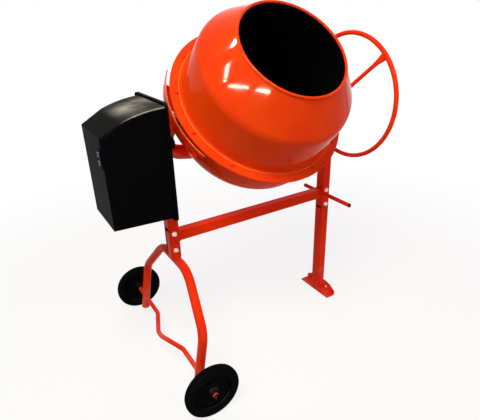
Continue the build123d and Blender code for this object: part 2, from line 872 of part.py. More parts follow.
pinion_tip = pinion_pitch + addendum
pinion_root = pinion_pitch - dedendum
root_half = tooth_half(-dedendum)
root_start = sqrt(pinion_root**2 - root_half**2)
pinion_in = drum_x - ring_inner - pinion_side_gap
pinion_out = pinion_in - face_width - pinion_side_gap
trunnion_end = left_x + post_x / 2 + yoke_gap + yoke_web
pinion_plane = Plane(origin=(pinion_out, 0, tilt_height), x_dir=drum_dir, z_dir=(1, 0, 0))
with BuildPart() as pinion:
    with BuildSketch(pinion_plane):
        Circle(pinion_root)
        with PolarLocations(0, pinion_teeth):
            with BuildLine():
                Polyline(
                    (pinion_root / 2, -root_half),
                    (root_start, -root_half),
                    (pinion_pitch, -tooth_half(0)),
                    (pinion_tip, -tooth_half(addendum) * tip_relief),
                    (pinion_tip, tooth_half(addendum) * tip_relief),
                    (pinion_pitch, tooth_half(0)),
                    (root_start, root_half),
                    (pinion_root / 2, root_half),
                    close=True,
                )
            make_face()
        Circle(pinion_shaft_radius + seat_fit, mode=Mode.SUBTRACT)
    extrude(amount=pinion_in - pinion_out)
    with BuildSketch(across_plane(trunnion_end + slide_fit, 0, tilt_height)):
        ring_section(pinion_hub_radius, pinion_shaft_radius + seat_fit)
    extrude(amount=pinion_out - trunnion_end - slide_fit)
save(pinion, "pinion")

belt_x = left_x - belt_offset
pulley_half = belt_width / 2 + belt_gap + pulley_lip_width
with BuildPart() as pinion_shaft:
    with BuildSketch(across_plane(belt_x - pulley_half - slide_fit, 0, tilt_height)):
        Circle(pinion_shaft_radius)
    extrude(amount=pinion_in - belt_x + pulley_half + slide_fit)
    chamfer(pinion_shaft.edges().filter_by(GeomType.CIRCLE), pinion_shaft_radius / 10)
save(pinion_shaft, "pinion_shaft")


def pulley(radius, bore, z, web):
    """Flat-belt pulley with two lips, about an X axis at a height, its web thinner than its rim."""
    with BuildPart() as wheel:
        with BuildSketch(across_plane(belt_x - pulley_half, 0, z)):
            Circle(radius + pulley_lip)
        extrude(amount=2 * pulley_half)
        with BuildSketch(across_plane(belt_x - belt_width / 2 - belt_gap, 0, z)):
            ring_section(radius + 2 * pulley_lip, radius)
        extrude(amount=belt_width + 2 * belt_gap, mode=Mode.SUBTRACT)
        if web:
            for side in (-1, 1):
                with BuildSketch(across_plane(belt_x + side * web, 0, z)):
                    ring_section(radius - web, 3 * bore)
                extrude(amount=side * pulley_half, mode=Mode.SUBTRACT)
        with BuildSketch(across_plane(belt_x - pulley_half, 0, z)):
            Circle(bore + seat_fit)
        extrude(amount=2 * pulley_half, mode=Mode.SUBTRACT)
    return wheel


save(pulley(big_pulley_radius, pinion_shaft_radius, tilt_height, pulley_lip), "drum_pulley")
save(pulley(small_pulley_radius, shaft_radius, motor_z, 0), "motor_pulley")

with BuildPart() as drive_belt:
    with BuildSketch(across_plane(belt_x - belt_width / 2)):
        for inner, mode in ((belt_gap + belt_thickness, Mode.ADD), (belt_gap, Mode.SUBTRACT)):
            with BuildSketch(mode=Mode.PRIVATE) as loop:
                with Locations((0, tilt_height)):
                    Circle(big_pulley_radius + inner)
                with Locations((0, motor_z)):
                    Circle(small_pulley_radius + inner)
                make_hull()
            add(loop.sketch_local, mode=mode)
    extrude(amount=belt_width)
save(drive_belt, "drive_belt")

# ---------------------------------------------------------------- drum fasteners, blades, hub
flange_shank = 2 * flange_sheet + 2 * ring_web - slide_fit
with BuildPart() as flange_bolts:
    for index in range(flange_bolt_count):
        turn = (index + 0.5) * 360 / flange_bolt_count
        spot = radial_plane(turn)
        stand = Plane(
            origin=spot.from_local_coords((flange_bolt_radius, flange_sheet, 0)),
            x_dir=spot.x_dir,
            z_dir=drum_dir,
        )
        add(hex_bolt(stand, flange_shank, 0))
save(flange_bolts, "flange_bolts")

with BuildPart() as mixing_blades:
    for index in range(blade_count):
        flat = blade_plane(index)
        with BuildSketch(flat):
            with BuildLine():
                Polyline(
                    (blade_edge, blade_low),
                    (blade_edge - blade_depth, blade_low * blade_taper),
                    (blade_edge - blade_depth, blade_high * blade_taper),
                    (blade_edge, blade_high),
                    close=True,
                )
            make_face()
            for reach, foot in blade_feet:
                with Locations(((blade_edge + foot - blade_thickness) / 2, reach - blade_neck)):
                    Rectangle(foot - blade_edge + blade_thickness, blade_neck)
        extrude(amount=blade_thickness / 2, both=True)
        for reach, foot in blade_feet:
            with BuildSketch(along_radius(flat, foot, reach, 1)):
                with Locations((-blade_bolt_side, 0)):
                    Rectangle(blade_tab, blade_tab)
            extrude(amount=-blade_thickness)
        with BuildSketch(along_radius(flat, upper_foot, upper_reach, 1)):
            Circle(bolt_radius + hole_fit)
        extrude(amount=-blade_thickness, mode=Mode.SUBTRACT)
save(mixing_blades, "mixing_blades")

with BuildPart() as blade_bolts:
    for index in range(blade_count):
        flat = blade_plane(index)
        add(hex_bolt(along_radius(flat, upper_head, upper_reach, 1), upper_shank, 0))
        add(hex_nut(along_radius(flat, upper_foot - blade_thickness, upper_reach, -1)))
save(blade_bolts, "blade_bolts")

hub_low = -bowl_depth - hub_drop
hub_high = -bowl_depth + hub_rise
with BuildPart() as drum_hub:
    with BuildSketch(drum_plane(hub_low)):
        Circle(hub_radius)
    extrude(amount=hub_high - hub_low)
    fillet(drum_hub.faces().sort_by(drum_axis)[-1].edges(), hub_cap)
    with BuildSketch(drum_plane(-bowl_depth - hub_flange)):
        Circle(hub_flange_radius)
    extrude(amount=hub_flange)
    with BuildSketch(drum_plane(hub_low)):
        Circle(bearing_radius)
    extrude(amount=hub_high - hub_low - hub_cap, mode=Mode.SUBTRACT)
    with BuildSketch(drum_plane(-bowl_depth - hub_flange)):
        with PolarLocations(hub_bolt_radius, hub_bolt_count):
            Circle(bolt_radius + hole_fit)
    extrude(amount=hub_flange, mode=Mode.SUBTRACT)
save(drum_hub, "drum_hub")

with BuildPart() as drum_bearings:
    for low in (hub_low + slide_fit, hub_high - hub_cap - 2 * bearing_width):
        with BuildSketch(drum_plane(low)):
            ring_section(bearing_radius - seat_fit, spindle_radius + running_fit)
        extrude(amount=bearing_width)
        with BuildSketch(drum_plane(low)):
            ring_section(bearing_radius - bearing_race, spindle_radius + bearing_race)
        extrude(amount=bearing_recess, mode=Mode.SUBTRACT)
save(drum_bearings, "drum_bearings")

with BuildPart() as hub_bolts:
    for index in range(hub_bolt_count):
        spot = radial_plane(index * 360 / hub_bolt_count)
        head = spot.from_local_coords((hub_bolt_radius, shell_wall - bowl_depth, 0))
        nut = spot.from_local_coords((hub_bolt_radius, -bowl_depth - hub_flange, 0))
        add(hex_bolt(Plane(head, spot.x_dir, drum_dir), shell_wall + hub_flange + 2 * bolt_head_height))
        add(hex_nut(Plane(nut, spot.x_dir, -drum_dir)))
save(hub_bolts, "hub_bolts")

# ---------------------------------------------------------------- yoke
yoke_top = -pivot_drop + yoke_width / 2


def yoke_area(inset):
    """Area within the yoke's outside less an inset, carried on above the yoke's open top."""
    with BuildSketch(radial_plane()) as area:
        with BuildLine():
            outline = FilletPolyline(
                (-left_arm, yoke_top + 2 * yoke_depth),
                (-left_arm, -yoke_elbow),
                (yoke_elbow_in - left_arm, -yoke_elbow_drop),
                (-yoke_flat_half, -yoke_bottom),
                (yoke_flat_half, -yoke_bottom),
                (right_arm - yoke_elbow_in, -yoke_elbow_drop),
                (right_arm, -yoke_elbow),
                (right_arm, yoke_top + 2 * yoke_depth),
                radius=[yoke_elbow_bend, *(4 * [yoke_flat_bend]), yoke_elbow_bend],
            )
            Line(outline @ 1, outline @ 0)
        make_face()
        if inset:
            offset(amount=-inset)
    return area.sketch


left_trunnion_start = left_x - post_x / 2 + slide_fit
right_web = right_x - post_x / 2 - yoke_gap
with BuildPart() as yoke:
    extrude(yoke_area(0), amount=yoke_width / 2, both=True)
    extrude(yoke_area(yoke_depth), amount=yoke_width / 2, both=True, mode=Mode.SUBTRACT)
    extrude(yoke_area(yoke_web), amount=yoke_width / 2 - yoke_flange, both=True, mode=Mode.SUBTRACT)
    with BuildSketch(drum_plane(yoke_top)):
        Circle(2 * ring_outer)
    extrude(amount=4 * yoke_depth, mode=Mode.SUBTRACT)
    with BuildSketch(across_plane(left_x, 0, tilt_height)):
        Circle(trunnion_radius + seat_fit)
    extrude(amount=drum_offset, mode=Mode.SUBTRACT)
    with BuildSketch(across_plane(drum_x, 0, tilt_height)):
        Circle(handle_shaft_radius + seat_fit)
    extrude(amount=post_spacing, mode=Mode.SUBTRACT)
save(yoke, "yoke")

with BuildPart() as left_trunnion:
    with BuildSketch(across_plane(left_trunnion_start, 0, tilt_height)):
        ring_section(trunnion_radius, trunnion_inner)
    extrude(amount=trunnion_end - left_trunnion_start)
save(left_trunnion, "left_trunnion")

with BuildPart() as pinion_bearings:
    for start in (left_trunnion_start, trunnion_end - pinion_bearing_width):
        with BuildSketch(across_plane(start, 0, tilt_height)):
            ring_section(trunnion_inner - seat_fit, pinion_shaft_radius + running_fit)
        extrude(amount=pinion_bearing_width)
save(pinion_bearings, "pinion_bearings")

with BuildPart() as drum_spindle:
    with BuildSketch(drum_plane(yoke_web - yoke_bottom)):
        Circle(collar_radius)
    extrude(amount=hub_low - slide_fit - yoke_web + yoke_bottom)
    with BuildSketch(drum_plane(hub_low - slide_fit)):
        Circle(spindle_radius)
    extrude(amount=hub_high - hub_cap - hub_low)
    chamfer(drum_spindle.faces().sort_by(drum_axis)[-1].edges(), spindle_radius / 10)
save(drum_spindle, "drum_spindle")

# ---------------------------------------------------------------- gear guard
guard_low = yoke_top
guard_first = 180 - guard_half_angle
guard_reach = guard_radius * sin(radians(guard_half_angle))
with BuildPart() as gear_guard:
    with BuildSketch(radial_plane(guard_first)):
        with Locations((guard_radius - guard_sheet / 2, (guard_low + guard_top) / 2)):
            Rectangle(guard_sheet, guard_top - guard_low)
    revolve(axis=drum_axis, revolution_arc=2 * guard_half_angle)
    with BuildSketch(radial_plane(90)):
        for side in (-1, 1):
            with BuildLine():
                Polyline(
                    (side * yoke_width, guard_low),
                    (side * (guard_reach + guard_sheet), guard_low),
                    (side * (guard_reach + guard_sheet), guard_top - guard_tip),
                    close=True,
                )
            make_face()
    extrude(amount=2 * guard_radius, both=True, mode=Mode.SUBTRACT)
save(gear_guard, "gear_guard")

# ---------------------------------------------------------------- hand wheel and index disc
with BuildPart() as index_disc:
    with BuildSketch(across_plane(right_x + disc_offset, 0, tilt_height)):
        ring_section(disc_radius, handle_shaft_radius + seat_fit)
        upright = mix_angle - 90
        for stop in (0, tilt_down, upright, 2 * upright, tilt_back):
            with PolarLocations(disc_radius, 1, 270 - stop):
                Rectangle(2 * notch_depth, 2 * (pin_lock_radius + slide_fit), mode=Mode.SUBTRACT)
    extrude(amount=disc_thickness)
save(index_disc, "index_disc")

hand_hub_x = right_x + hand_hub_start
hand_hub_end = hand_hub_x + hand_hub_length
with BuildPart() as hand_wheel_shaft:
    with BuildSketch(across_plane(right_web - yoke_web, 0, tilt_height)):
        Circle(handle_shaft_radius)
    extrude(amount=hand_hub_end - right_web + yoke_web)
    with BuildSketch(across_plane(right_web - yoke_web, 0, tilt_height)):
        Circle(collar_radius)
    extrude(amount=-yoke_web)
    with BuildSketch(across_plane(hand_hub_end, 0, tilt_height)):
        Circle(stud_radius)
    extrude(amount=bolt_washer_thickness + stud_nut_height + stud_radius / 2)
save(hand_wheel_shaft, "hand_wheel_shaft")

with BuildPart() as hand_wheel_hub:
    with BuildSketch(across_plane(hand_hub_x, 0, tilt_height)):
        ring_section(hand_hub_radius, handle_shaft_radius + seat_fit)
    extrude(amount=hand_hub_length)
save(hand_wheel_hub, "hand_wheel_hub")

with BuildPart() as hand_wheel_nut:
    with BuildSketch(across_plane(hand_hub_end, 0, tilt_height)):
        Circle(2 * stud_radius)
    extrude(amount=bolt_washer_thickness)
    with BuildSketch(across_plane(hand_hub_end + bolt_washer_thickness, 0, tilt_height)):
        RegularPolygon(stud_nut_half, 6, major_radius=False)
    extrude(amount=stud_nut_height)
    with BuildSketch(across_plane(hand_hub_end, 0, tilt_height)):
        Circle(stud_radius + seat_fit)
    extrude(amount=bolt_washer_thickness + stud_nut_height, mode=Mode.SUBTRACT)
save(hand_wheel_nut, "hand_wheel_nut")

rim_centre = across_plane(right_x + rim_plane_offset, 0, tilt_height)
with BuildPart() as hand_wheel_rim:
    with Locations(rim_centre):
        Torus(rim_radius, rim_tube)
save(hand_wheel_rim, "hand_wheel_rim")

with BuildPart() as hand_wheel_spokes:
    for turn in (spoke_angle, spoke_angle + 180):
        start = Vector(hand_hub_x + hand_hub_length / 2, 0, tilt_height)
        across = Vector(0, cos(radians(turn)), sin(radians(turn)))
        end = rim_centre.origin + across * rim_radius
        with BuildSketch(Plane(origin=start, z_dir=end - start)):
            Circle(spoke_radius)
        extrude(amount=(end - start).length)
    with BuildSketch(across_plane(hand_hub_x, 0, tilt_height)):
        Circle(hand_hub_radius + seat_gap)
    extrude(amount=2 * hand_hub_length, mode=Mode.SUBTRACT)
    with Locations(rim_centre):
        Torus(rim_radius, rim_tube + seat_gap, mode=Mode.SUBTRACT)
save(hand_wheel_spokes, "hand_wheel_spokes")

# ---------------------------------------------------------------- motor housing
base_x = left_x - post_x / 2
shell_x = base_x - base_sheet
cover_back = shell_x - cover_play
base_middle = (base_low + base_high) / 2
screw_side = cover_back_half - cover_wall - boss_radius
screw_spots = [
    (side * screw_side, height)
    for side in (-1, 1)
    for height in (cover_low + cover_wall + boss_radius, cover_top - cover_wall - 2 * boss_radius)
]
with BuildPart() as motor_base:
    with BuildSketch(across_plane(base_x, 0, base_middle)):
        RectangleRounded(2 * base_half, base_high - base_low, base_corner)
    extrude(amount=-base_depth)
    with BuildSketch(across_plane(shell_x, 0, base_middle)):
        RectangleRounded(
            2 * (base_half - base_sheet), base_high - base_low - 2 * base_sheet, base_corner - base_sheet
        )
    extrude(amount=-base_depth, mode=Mode.SUBTRACT)
    with BuildSketch(across_plane(base_x)):
        with Locations((0, tilt_height)):
            Circle(base_hole)
        with Locations(*screw_spots):
            Circle(screw_radius + hole_fit)
    extrude(amount=-base_sheet, mode=Mode.SUBTRACT)
save(motor_base, "motor_base")


def cover_block(inset):
    """Solid form of the motor cover with every wall moved in by an inset, cut off flat at its back."""
    with BuildPart() as block:
        with BuildSketch(facing_plane(0)):
            with BuildLine():
                front = left_x - housing_reach
                brow = (left_x - cover_break_reach, cover_break_z)
                crown = (cover_back, cover_top)
                Polyline(
                    crown,
                    (cover_back + 2 * cover_wall, cover_top),
                    (cover_back + 2 * cover_wall, cover_low),
                    (front, cover_low),
                    (front, cover_brow),
                    brow,
                )
                TangentArc(brow, crown, tangent=(cos(radians(cover_crown)), sin(radians(cover_crown))))
            make_face()
            if inset:
                offset(amount=-inset)
        extrude(amount=cover_back_half, both=True)
        with BuildSketch(Plane.XY.offset(cover_low)):
            with BuildLine():
                Polyline(
                    (cover_back, inset - cover_back_half),
                    (front + inset, inset - cover_front_half),
                    (front + inset, cover_front_half - inset),
                    (cover_back, cover_back_half - inset),
                    close=True,
                )
            make_face()
        extrude(amount=cover_top - cover_low, mode=Mode.INTERSECT)
        outer = block.edges().filter_by(lambda edge: edge.center().X < cover_back - cover_wall)
        fillet(outer.filter_by(lambda edge: abs(edge.center().Y) > cover_front_half / 2), cover_round - inset)
    return block.part


with BuildPart() as motor_cover:
    add(cover_block(0))
    add(cover_block(cover_wall), mode=Mode.SUBTRACT)
    with BuildSketch(across_plane(cover_back)):
        with Locations(*screw_spots):
            Circle(boss_radius)
    extrude(amount=-boss_length)
    with BuildSketch(across_plane(cover_back)):
        with Locations(*screw_spots):
            Circle(screw_radius + seat_fit)
    extrude(amount=-boss_length / 2, mode=Mode.SUBTRACT)
    with BuildSketch(across_plane(left_x - housing_reach, switch_y, switch_z)):
        Rectangle(switch_width - 2 * switch_rim, switch_height - 2 * switch_rim)
    extrude(amount=2 * cover_wall, mode=Mode.SUBTRACT)
    with BuildSketch(Plane.XY.offset(cover_low)):
        with Locations((left_x - inlet_x, 0)):
            Circle(inlet_radius + slide_fit)
    extrude(amount=2 * cover_wall, mode=Mode.SUBTRACT)
save(motor_cover, "motor_cover")

with BuildPart() as cover_screws:
    for reach, radius in ((screw_radius, 2 * screw_radius), (slide_fit - boss_length / 2, screw_radius)):
        with BuildSketch(across_plane(base_x)):
            with Locations(*screw_spots):
                Circle(radius)
        extrude(amount=reach)
save(cover_screws, "cover_screws")

# ---------------------------------------------------------------- motor and its bracket
motor_end = left_x - motor_near
motor_length = motor_far - motor_near
shelf_top = motor_z - motor_radius - motor_foot_height
with BuildPart() as motor:
    with BuildSketch(across_plane(motor_end, 0, motor_z)):
        Circle(motor_radius)
    extrude(amount=-motor_length)
    chamfer(motor.edges().filter_by(GeomType.CIRCLE), motor_rib)
    groove_pitch = (motor_length - 4 * motor_rib) / motor_grooves
    for index in range(motor_grooves):
        groove = motor_end - 2 * motor_rib - (index + 1 / 2) * groove_pitch
        with BuildSketch(across_plane(groove, 0, motor_z)):
            ring_section(motor_radius + motor_rib, motor_radius - motor_rib)
        extrude(amount=motor_rib / 2, both=True, mode=Mode.SUBTRACT)
    with BuildSketch(Plane.XY.offset(shelf_top)):
        with Locations((motor_end - motor_length / 2, 0)):
            Rectangle(motor_length / 2, 2 * motor_foot_half)
    extrude(amount=motor_foot_height + motor_radius / 2)
    with BuildSketch(across_plane(motor_end, 0, motor_z)):
        Circle(shaft_radius + running_fit)
    extrude(amount=-motor_length / 2, mode=Mode.SUBTRACT)
save(motor, "motor")

rotor_start = belt_x + pulley_half + slide_fit
with BuildPart() as rotor_shaft:
    with BuildSketch(across_plane(rotor_start, 0, motor_z)):
        Circle(shaft_radius)
    extrude(amount=motor_end - motor_length / 2 + slide_fit - rotor_start)
save(rotor_shaft, "rotor_shaft")

with BuildPart() as motor_bracket:
    with BuildSketch(Plane.XY.offset(shelf_top)):
        with Locations((shell_x - motor_far / 2 + post_x / 4, 0)):
            Rectangle(motor_far - post_x / 2, 2 * shelf_half)
    extrude(amount=-shelf_thickness)
    with BuildSketch(across_plane(shell_x, 0, shelf_top + motor_radius / 2)):
        Rectangle(2 * shelf_half, motor_radius)
    extrude(amount=-shelf_thickness)
    for side in (-1, 1):
        with BuildSketch(facing_plane(side * (shelf_half - shelf_thickness / 2), shell_x, shelf_top)):
            with BuildLine():
                Polyline((0, 0), (0, motor_radius), (-motor_near, 0), close=True)
            make_face()
        extrude(amount=shelf_thickness / 2, both=True)
save(motor_bracket, "motor_bracket")

# ---------------------------------------------------------------- switch, inlet and clamp knob
face_x = left_x - housing_reach
with BuildPart() as switch_box:
    with BuildSketch(across_plane(face_x, switch_y, switch_z)):
        RectangleRounded(switch_width, switch_height, switch_rim)
    extrude(amount=-switch_plate)
    with BuildSketch(across_plane(face_x, switch_y, switch_z)):
        Rectangle(
            switch_width - 2 * (switch_rim + slide_fit), switch_height - 2 * (switch_rim + slide_fit)
        )
    extrude(amount=switch_depth)
    with BuildSketch(across_plane(face_x - switch_plate, switch_y, switch_z)):
        with GridLocations(0, button_pitch, 1, 2):
            Rectangle(button_width + 2 * slide_fit, button_height + 2 * slide_fit)
    extrude(amount=button_depth - button_proud + button_travel + slide_fit, mode=Mode.SUBTRACT)
save(switch_box, "switch_box")

for side, name in ((1, "start_button"), (-1, "stop_button")):
    with BuildPart() as button:
        with BuildSketch(
            across_plane(face_x - switch_plate - button_proud, switch_y, switch_z + side * button_pitch / 2)
        ):
            Rectangle(button_width, button_height)
        extrude(amount=button_depth)
        fillet(button.faces().sort_by(Axis.X)[0].edges(), button_round)
    save(button, name)

with BuildPart() as power_inlet:
    with BuildSketch(Plane.XY.offset(cover_low - inlet_flange_thickness)):
        with Locations((left_x - inlet_x, 0)):
            Circle(inlet_flange)
    extrude(amount=inlet_flange_thickness)
    with BuildSketch(Plane.XY.offset(cover_low)):
        with Locations((left_x - inlet_x, 0)):
            Circle(inlet_radius)
    extrude(amount=inlet_depth)
    with BuildSketch(Plane.XY.offset(cover_low - inlet_flange_thickness)):
        with Locations((left_x - inlet_x, 0)):
            Circle(inlet_radius - cover_wall)
    extrude(amount=inlet_depth + inlet_flange_thickness - cover_wall, mode=Mode.SUBTRACT)
    with BuildSketch(Plane.XY.offset(cover_low + inlet_pin_inset)):
        with Locations((left_x - inlet_x, 0)):
            with PolarLocations(inlet_radius / 2, 3):
                Circle(inlet_pin_radius)
    extrude(amount=inlet_depth - inlet_pin_inset)
save(power_inlet, "power_inlet")

with BuildPart() as clamp_knob:
    with BuildSketch(across_plane(base_x, -knob_side, tilt_height - knob_drop)):
        Circle(clamp_knob_radius)
        with PolarLocations(clamp_knob_radius + knob_grip_radius / 2, 8):
            Circle(knob_grip_radius, mode=Mode.SUBTRACT)
    extrude(amount=clamp_knob_length)
    fillet(clamp_knob.faces().sort_by(Axis.X)[-1].edges(), knob_grip_radius / 4)
save(clamp_knob, "clamp_knob")
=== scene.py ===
import json
from functools import partialmethod
from math import atan2, cos, pi, radians, sin, tan

import bmesh
import bpy
from bpy.props import FloatProperty, FloatVectorProperty, IntProperty, PointerProperty
from mathutils import Matrix, Vector


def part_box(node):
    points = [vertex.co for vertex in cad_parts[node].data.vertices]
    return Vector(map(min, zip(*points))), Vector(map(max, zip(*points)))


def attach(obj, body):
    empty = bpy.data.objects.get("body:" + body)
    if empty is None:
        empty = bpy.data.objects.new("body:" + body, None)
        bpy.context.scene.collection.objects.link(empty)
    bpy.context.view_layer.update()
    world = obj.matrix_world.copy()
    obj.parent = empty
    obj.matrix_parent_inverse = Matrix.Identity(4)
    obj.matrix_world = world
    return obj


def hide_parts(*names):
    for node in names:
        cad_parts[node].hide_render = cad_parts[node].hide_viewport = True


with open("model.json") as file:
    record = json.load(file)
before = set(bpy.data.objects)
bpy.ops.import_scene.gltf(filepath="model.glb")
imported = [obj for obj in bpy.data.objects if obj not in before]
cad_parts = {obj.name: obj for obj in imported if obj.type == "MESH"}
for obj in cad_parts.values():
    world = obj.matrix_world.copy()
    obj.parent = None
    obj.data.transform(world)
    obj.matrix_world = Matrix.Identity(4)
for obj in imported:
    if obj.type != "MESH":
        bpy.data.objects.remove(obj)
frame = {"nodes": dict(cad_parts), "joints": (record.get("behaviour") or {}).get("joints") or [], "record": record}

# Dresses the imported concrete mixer: enamelled drum, stand and yoke, black housing and wheels, zinc-plated
# fasteners, weld beads, and the stage it stands on. Metres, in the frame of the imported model.

bl_info = {
    "name": "Concrete Mixer Finishes",
    "version": (1, 0, 0),
    "blender": (4, 5, 0),
    "location": "3D View > Sidebar > Mixer",
    "description": "Builds the visible pieces and finishes of a tilting concrete mixer around its frame",
    "category": "Object",
}

nodes = frame["nodes"]
slot_of_node = {part["node"]: part["material_slot"] for part in frame["record"]["subparts"]}
joints = {joint["name"]: joint for joint in frame["joints"]}
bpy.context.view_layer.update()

UP = Vector((0, 0, 1))
ALONG = Vector((1, 0, 0))
BACK = Vector((0, 1, 0))
OVERLAP = 0.0004
THREAD_CHAMFER = 0.0007
tilt_point = Vector(joints["tilt"]["pos_m"])
drum_dir = Vector(joints["drum_spin"]["axis"]).normalized()


def middle(node):
    """Centre of a node's box."""
    low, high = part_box(node)
    return (low + high) / 2


def half_size(node):
    low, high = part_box(node)
    return (high - low) / 2


# Settings


def metres(name, default, about):
    return FloatProperty(name=name, description=about, default=default, unit="LENGTH")


def number(name, default, about):
    return IntProperty(name=name, description=about, default=default, min=3)


def colour(name, default, about):
    settings = {"min": 0, "max": 1, "size": 3, "subtype": "COLOR"}
    return FloatVectorProperty(name=name, description=about, default=default, **settings)


class MixerSizes(bpy.types.PropertyGroup):
    """Sizes of the pieces that are modelled here."""

    flange_rise: metres("Flange height", 0.065, "Flange joint above the tilt axis, along the drum")
    bowl_radius: metres("Bowl radius", 0.287, "Outside of the lower shell")
    bowl_depth: metres("Bowl depth", 0.205, "Depth of the lower shell below the flange joint")
    bowl_bend: metres("Bowl bend", 0.108, "Bend between the bowl's side and bottom")
    wall_radius: metres("Wall radius", 0.284, "Outside of the wall at its foot")
    shoulder_radius: metres("Shoulder radius", 0.2745, "Outside of the wall where the cone starts")
    wall_height: metres("Wall height", 0.160, "Where the wall and the cone would meet")
    shoulder_bend: metres("Shoulder bend", 0.042, "Bend between the wall and the cone")
    mouth_radius: metres("Mouth radius", 0.184, "Outside of the cone at the mouth")
    mouth_height: metres("Mouth height", 0.264, "Mouth above the flange joint")
    rim_bead: metres("Rim bead", 0.0045, "Radius of the rolled bead round the mouth")
    flange_radius: metres("Flange radius", 0.3225, "Outside of both flanges")
    sheet: metres("Sheet", 0.003, "Thickness of the drum's sheet")
    guard_radius: metres("Guard radius", 0.3365, "Outside of the gear guard")
    guard_half_angle: number("Guard half angle", 30, "Half the guard's arc, in degrees")
    hub_radius: metres("Hub radius", 0.042, "Drum hub through the bowl's bottom")
    bolt_circle: metres("Bolt circle", 0.302, "Radius of the flange bolts' circle")
    bolt_count: number("Flange bolts", 12, "Bolts round the flange")
    hub_bolt_circle: metres("Hub bolt circle", 0.072, "Radius of the hub bolts' circle")
    hub_bolt_count: number("Hub bolts", 6, "Bolts round the hub")
    bolt_half: metres("Bolt head", 0.0065, "Half a bolt head's width across its flats")
    bolt_height: metres("Bolt head height", 0.0055, "Height of a bolt head")
    bolt_shank: metres("Bolt shank", 0.004, "Radius of a bolt's shank")
    washer_radius: metres("Washer", 0.009, "Radius of a bolt's washer")
    washer_thickness: metres("Washer thickness", 0.0016, "Thickness of a bolt's washer")
    hub_flange: metres("Hub flange", 0.008, "Thickness of the drum hub's flange")
    tyre_radius: metres("Tyre radius", 0.100, "Outside of the solid tyres")
    tyre_half: metres("Tyre half width", 0.0155, "Half the width of a tyre")
    lugs: number("Tyre lugs", 44, "Lugs round each shoulder of a tyre")
    spoke_radius: metres("Spoke", 0.008, "Radius of the hand wheel's spokes")
    spoke_flare: metres("Spoke flare", 0.0125, "Radius of a spoke at the rim")
    weld: metres("Weld bead", 0.0032, "Radius of a weld bead")


class MixerColours(bpy.types.PropertyGroup):
    """Colours of the finishes."""

    enamel: colour("Enamel", (0.84, 0.058, 0.004), "Orange enamel of the drum")
    enamel_deep: colour("Enamel, deep", (0.70, 0.016, 0.006), "Enamel where it lies thick or worn dull")
    # Painted shade: the stand's enamel is the drum's orange paint made darker and redder, as the stand lies in
    # shade.
    enamel_stand_shade: colour("Enamel, stand", (0.88, 0.036, 0.004), "Orange enamel of the stand, a thicker coat")
    enamel_highlight: colour("Enamel, thin", (0.95, 0.19, 0.04), "Thin enamel over the sealant")
    # Painted highlight: a lighter orange for the seam bead and the guard's lip, where they catch the light.
    undercoat: colour("Undercoat", (0.055, 0.05, 0.045), "Undercoat at worn edges")
    # Also the colour of the painted highlight on the motor cover's crown.
    cement: colour("Cement dust", (0.42, 0.40, 0.36), "Dried cement and dust")
    # Painted shade: near black for the insides of the tubes and of the drum, which lie in shade.
    inside_shade: colour("Bare inside", (0.012, 0.010, 0.009), "Dark insides of the open tubes")
    # Painted shade: the drum's inside is coloured near black for the shade that fills it.
    drum_shade_black: colour("Drum liner", (0.0030, 0.0028, 0.0026), "Black inside of the drum")
    plastic: colour("Black plastic", (0.0022, 0.0023, 0.0024), "Housing, knobs and wheel hubs")
    rubber: colour("Rubber", (0.0026, 0.0026, 0.0027), "Tyres")
    zinc: colour("Zinc", (0.66, 0.67, 0.68), "Plated fasteners and shafts")
    passivate: colour("Passivate", (0.62, 0.56, 0.40), "Warm tint of the plating")
    grease: colour("Grease", (0.018, 0.015, 0.012), "Grease on the gears")
    iron: colour("Iron", (0.040, 0.040, 0.042), "Ring gear, pinion and pulleys")
    alloy: colour("Alloy", (0.50, 0.51, 0.53), "Motor case")
    button: colour("Buttons", (0.002, 0.003, 0.10), "Push buttons")
    floor: colour("Floor", (0.50, 0.50, 0.50), "Floor of the stage")
    floor_shade: colour("Floor, darker", (0.47, 0.47, 0.46), "Faint patches in the floor")
    floor_seen: colour("Floor, as seen", (0.86, 0.86, 0.86), "Floor as it is seen")


# Shader wiring


class Wire:
    """A shader socket. Arithmetic on it adds Math nodes."""

    def __init__(self, wiring, socket):
        self.wiring = wiring
        self.socket = socket

    def reckon(self, operation, *others):
        return self.wiring.add("ShaderNodeMath", {"operation": operation}, dict(enumerate((self, *others))))

    __add__ = __radd__ = partialmethod(reckon, "ADD")
    __sub__ = partialmethod(reckon, "SUBTRACT")
    __mul__ = __rmul__ = partialmethod(reckon, "MULTIPLY")
    __pow__ = partialmethod(reckon, "POWER")
    __abs__ = partialmethod(reckon, "ABSOLUTE")
    __lt__ = partialmethod(reckon, "LESS_THAN")
    __or__ = partialmethod(reckon, "MAXIMUM")

    def __rsub__(self, other):
        return self.wiring.add("ShaderNodeMath", {"operation": "SUBTRACT"}, {0: other, 1: self})

    def to(self, low, high):
        """0 where this is at low, 1 where it is at high, smooth between and held beyond."""
        settings = {"interpolation_type": "SMOOTHSTEP"}
        values = {"Value": self, "From Min": low, "From Max": high}
        return self.wiring.add("ShaderNodeMapRange", settings, values, "Result")


class Wiring:
    """A node tree that is being wired up."""

    def __init__(self, tree):
        self.tree = tree

    def join(self, value, socket):
        if isinstance(value, Wire):
            self.tree.links.new(value.socket, socket)
        elif socket.type == "RGBA" and len(value) == 3:
            socket.default_value = (*value, 1)
        else:
            socket.default_value = value

    def add(self, kind, settings=None, values=None, output=0):
        """Adds a node: first its settings, then the values or links of its sockets."""
        node = self.tree.nodes.new(kind)
        for name, value in (settings or {}).items():
            setattr(node, name, value)
        for name, value in (values or {}).items():
            self.join(value, node.inputs[name])
        return Wire(self, node.outputs[output])

    def seen_directly(self):
        """1 for what the camera sees, also in a mirror or through glass."""
        camera, glossy, through = (
            self.add("ShaderNodeLightPath", output=kind)
            for kind in ("Is Camera Ray", "Is Glossy Ray", "Is Transmission Ray")
        )
        return camera | glossy | through


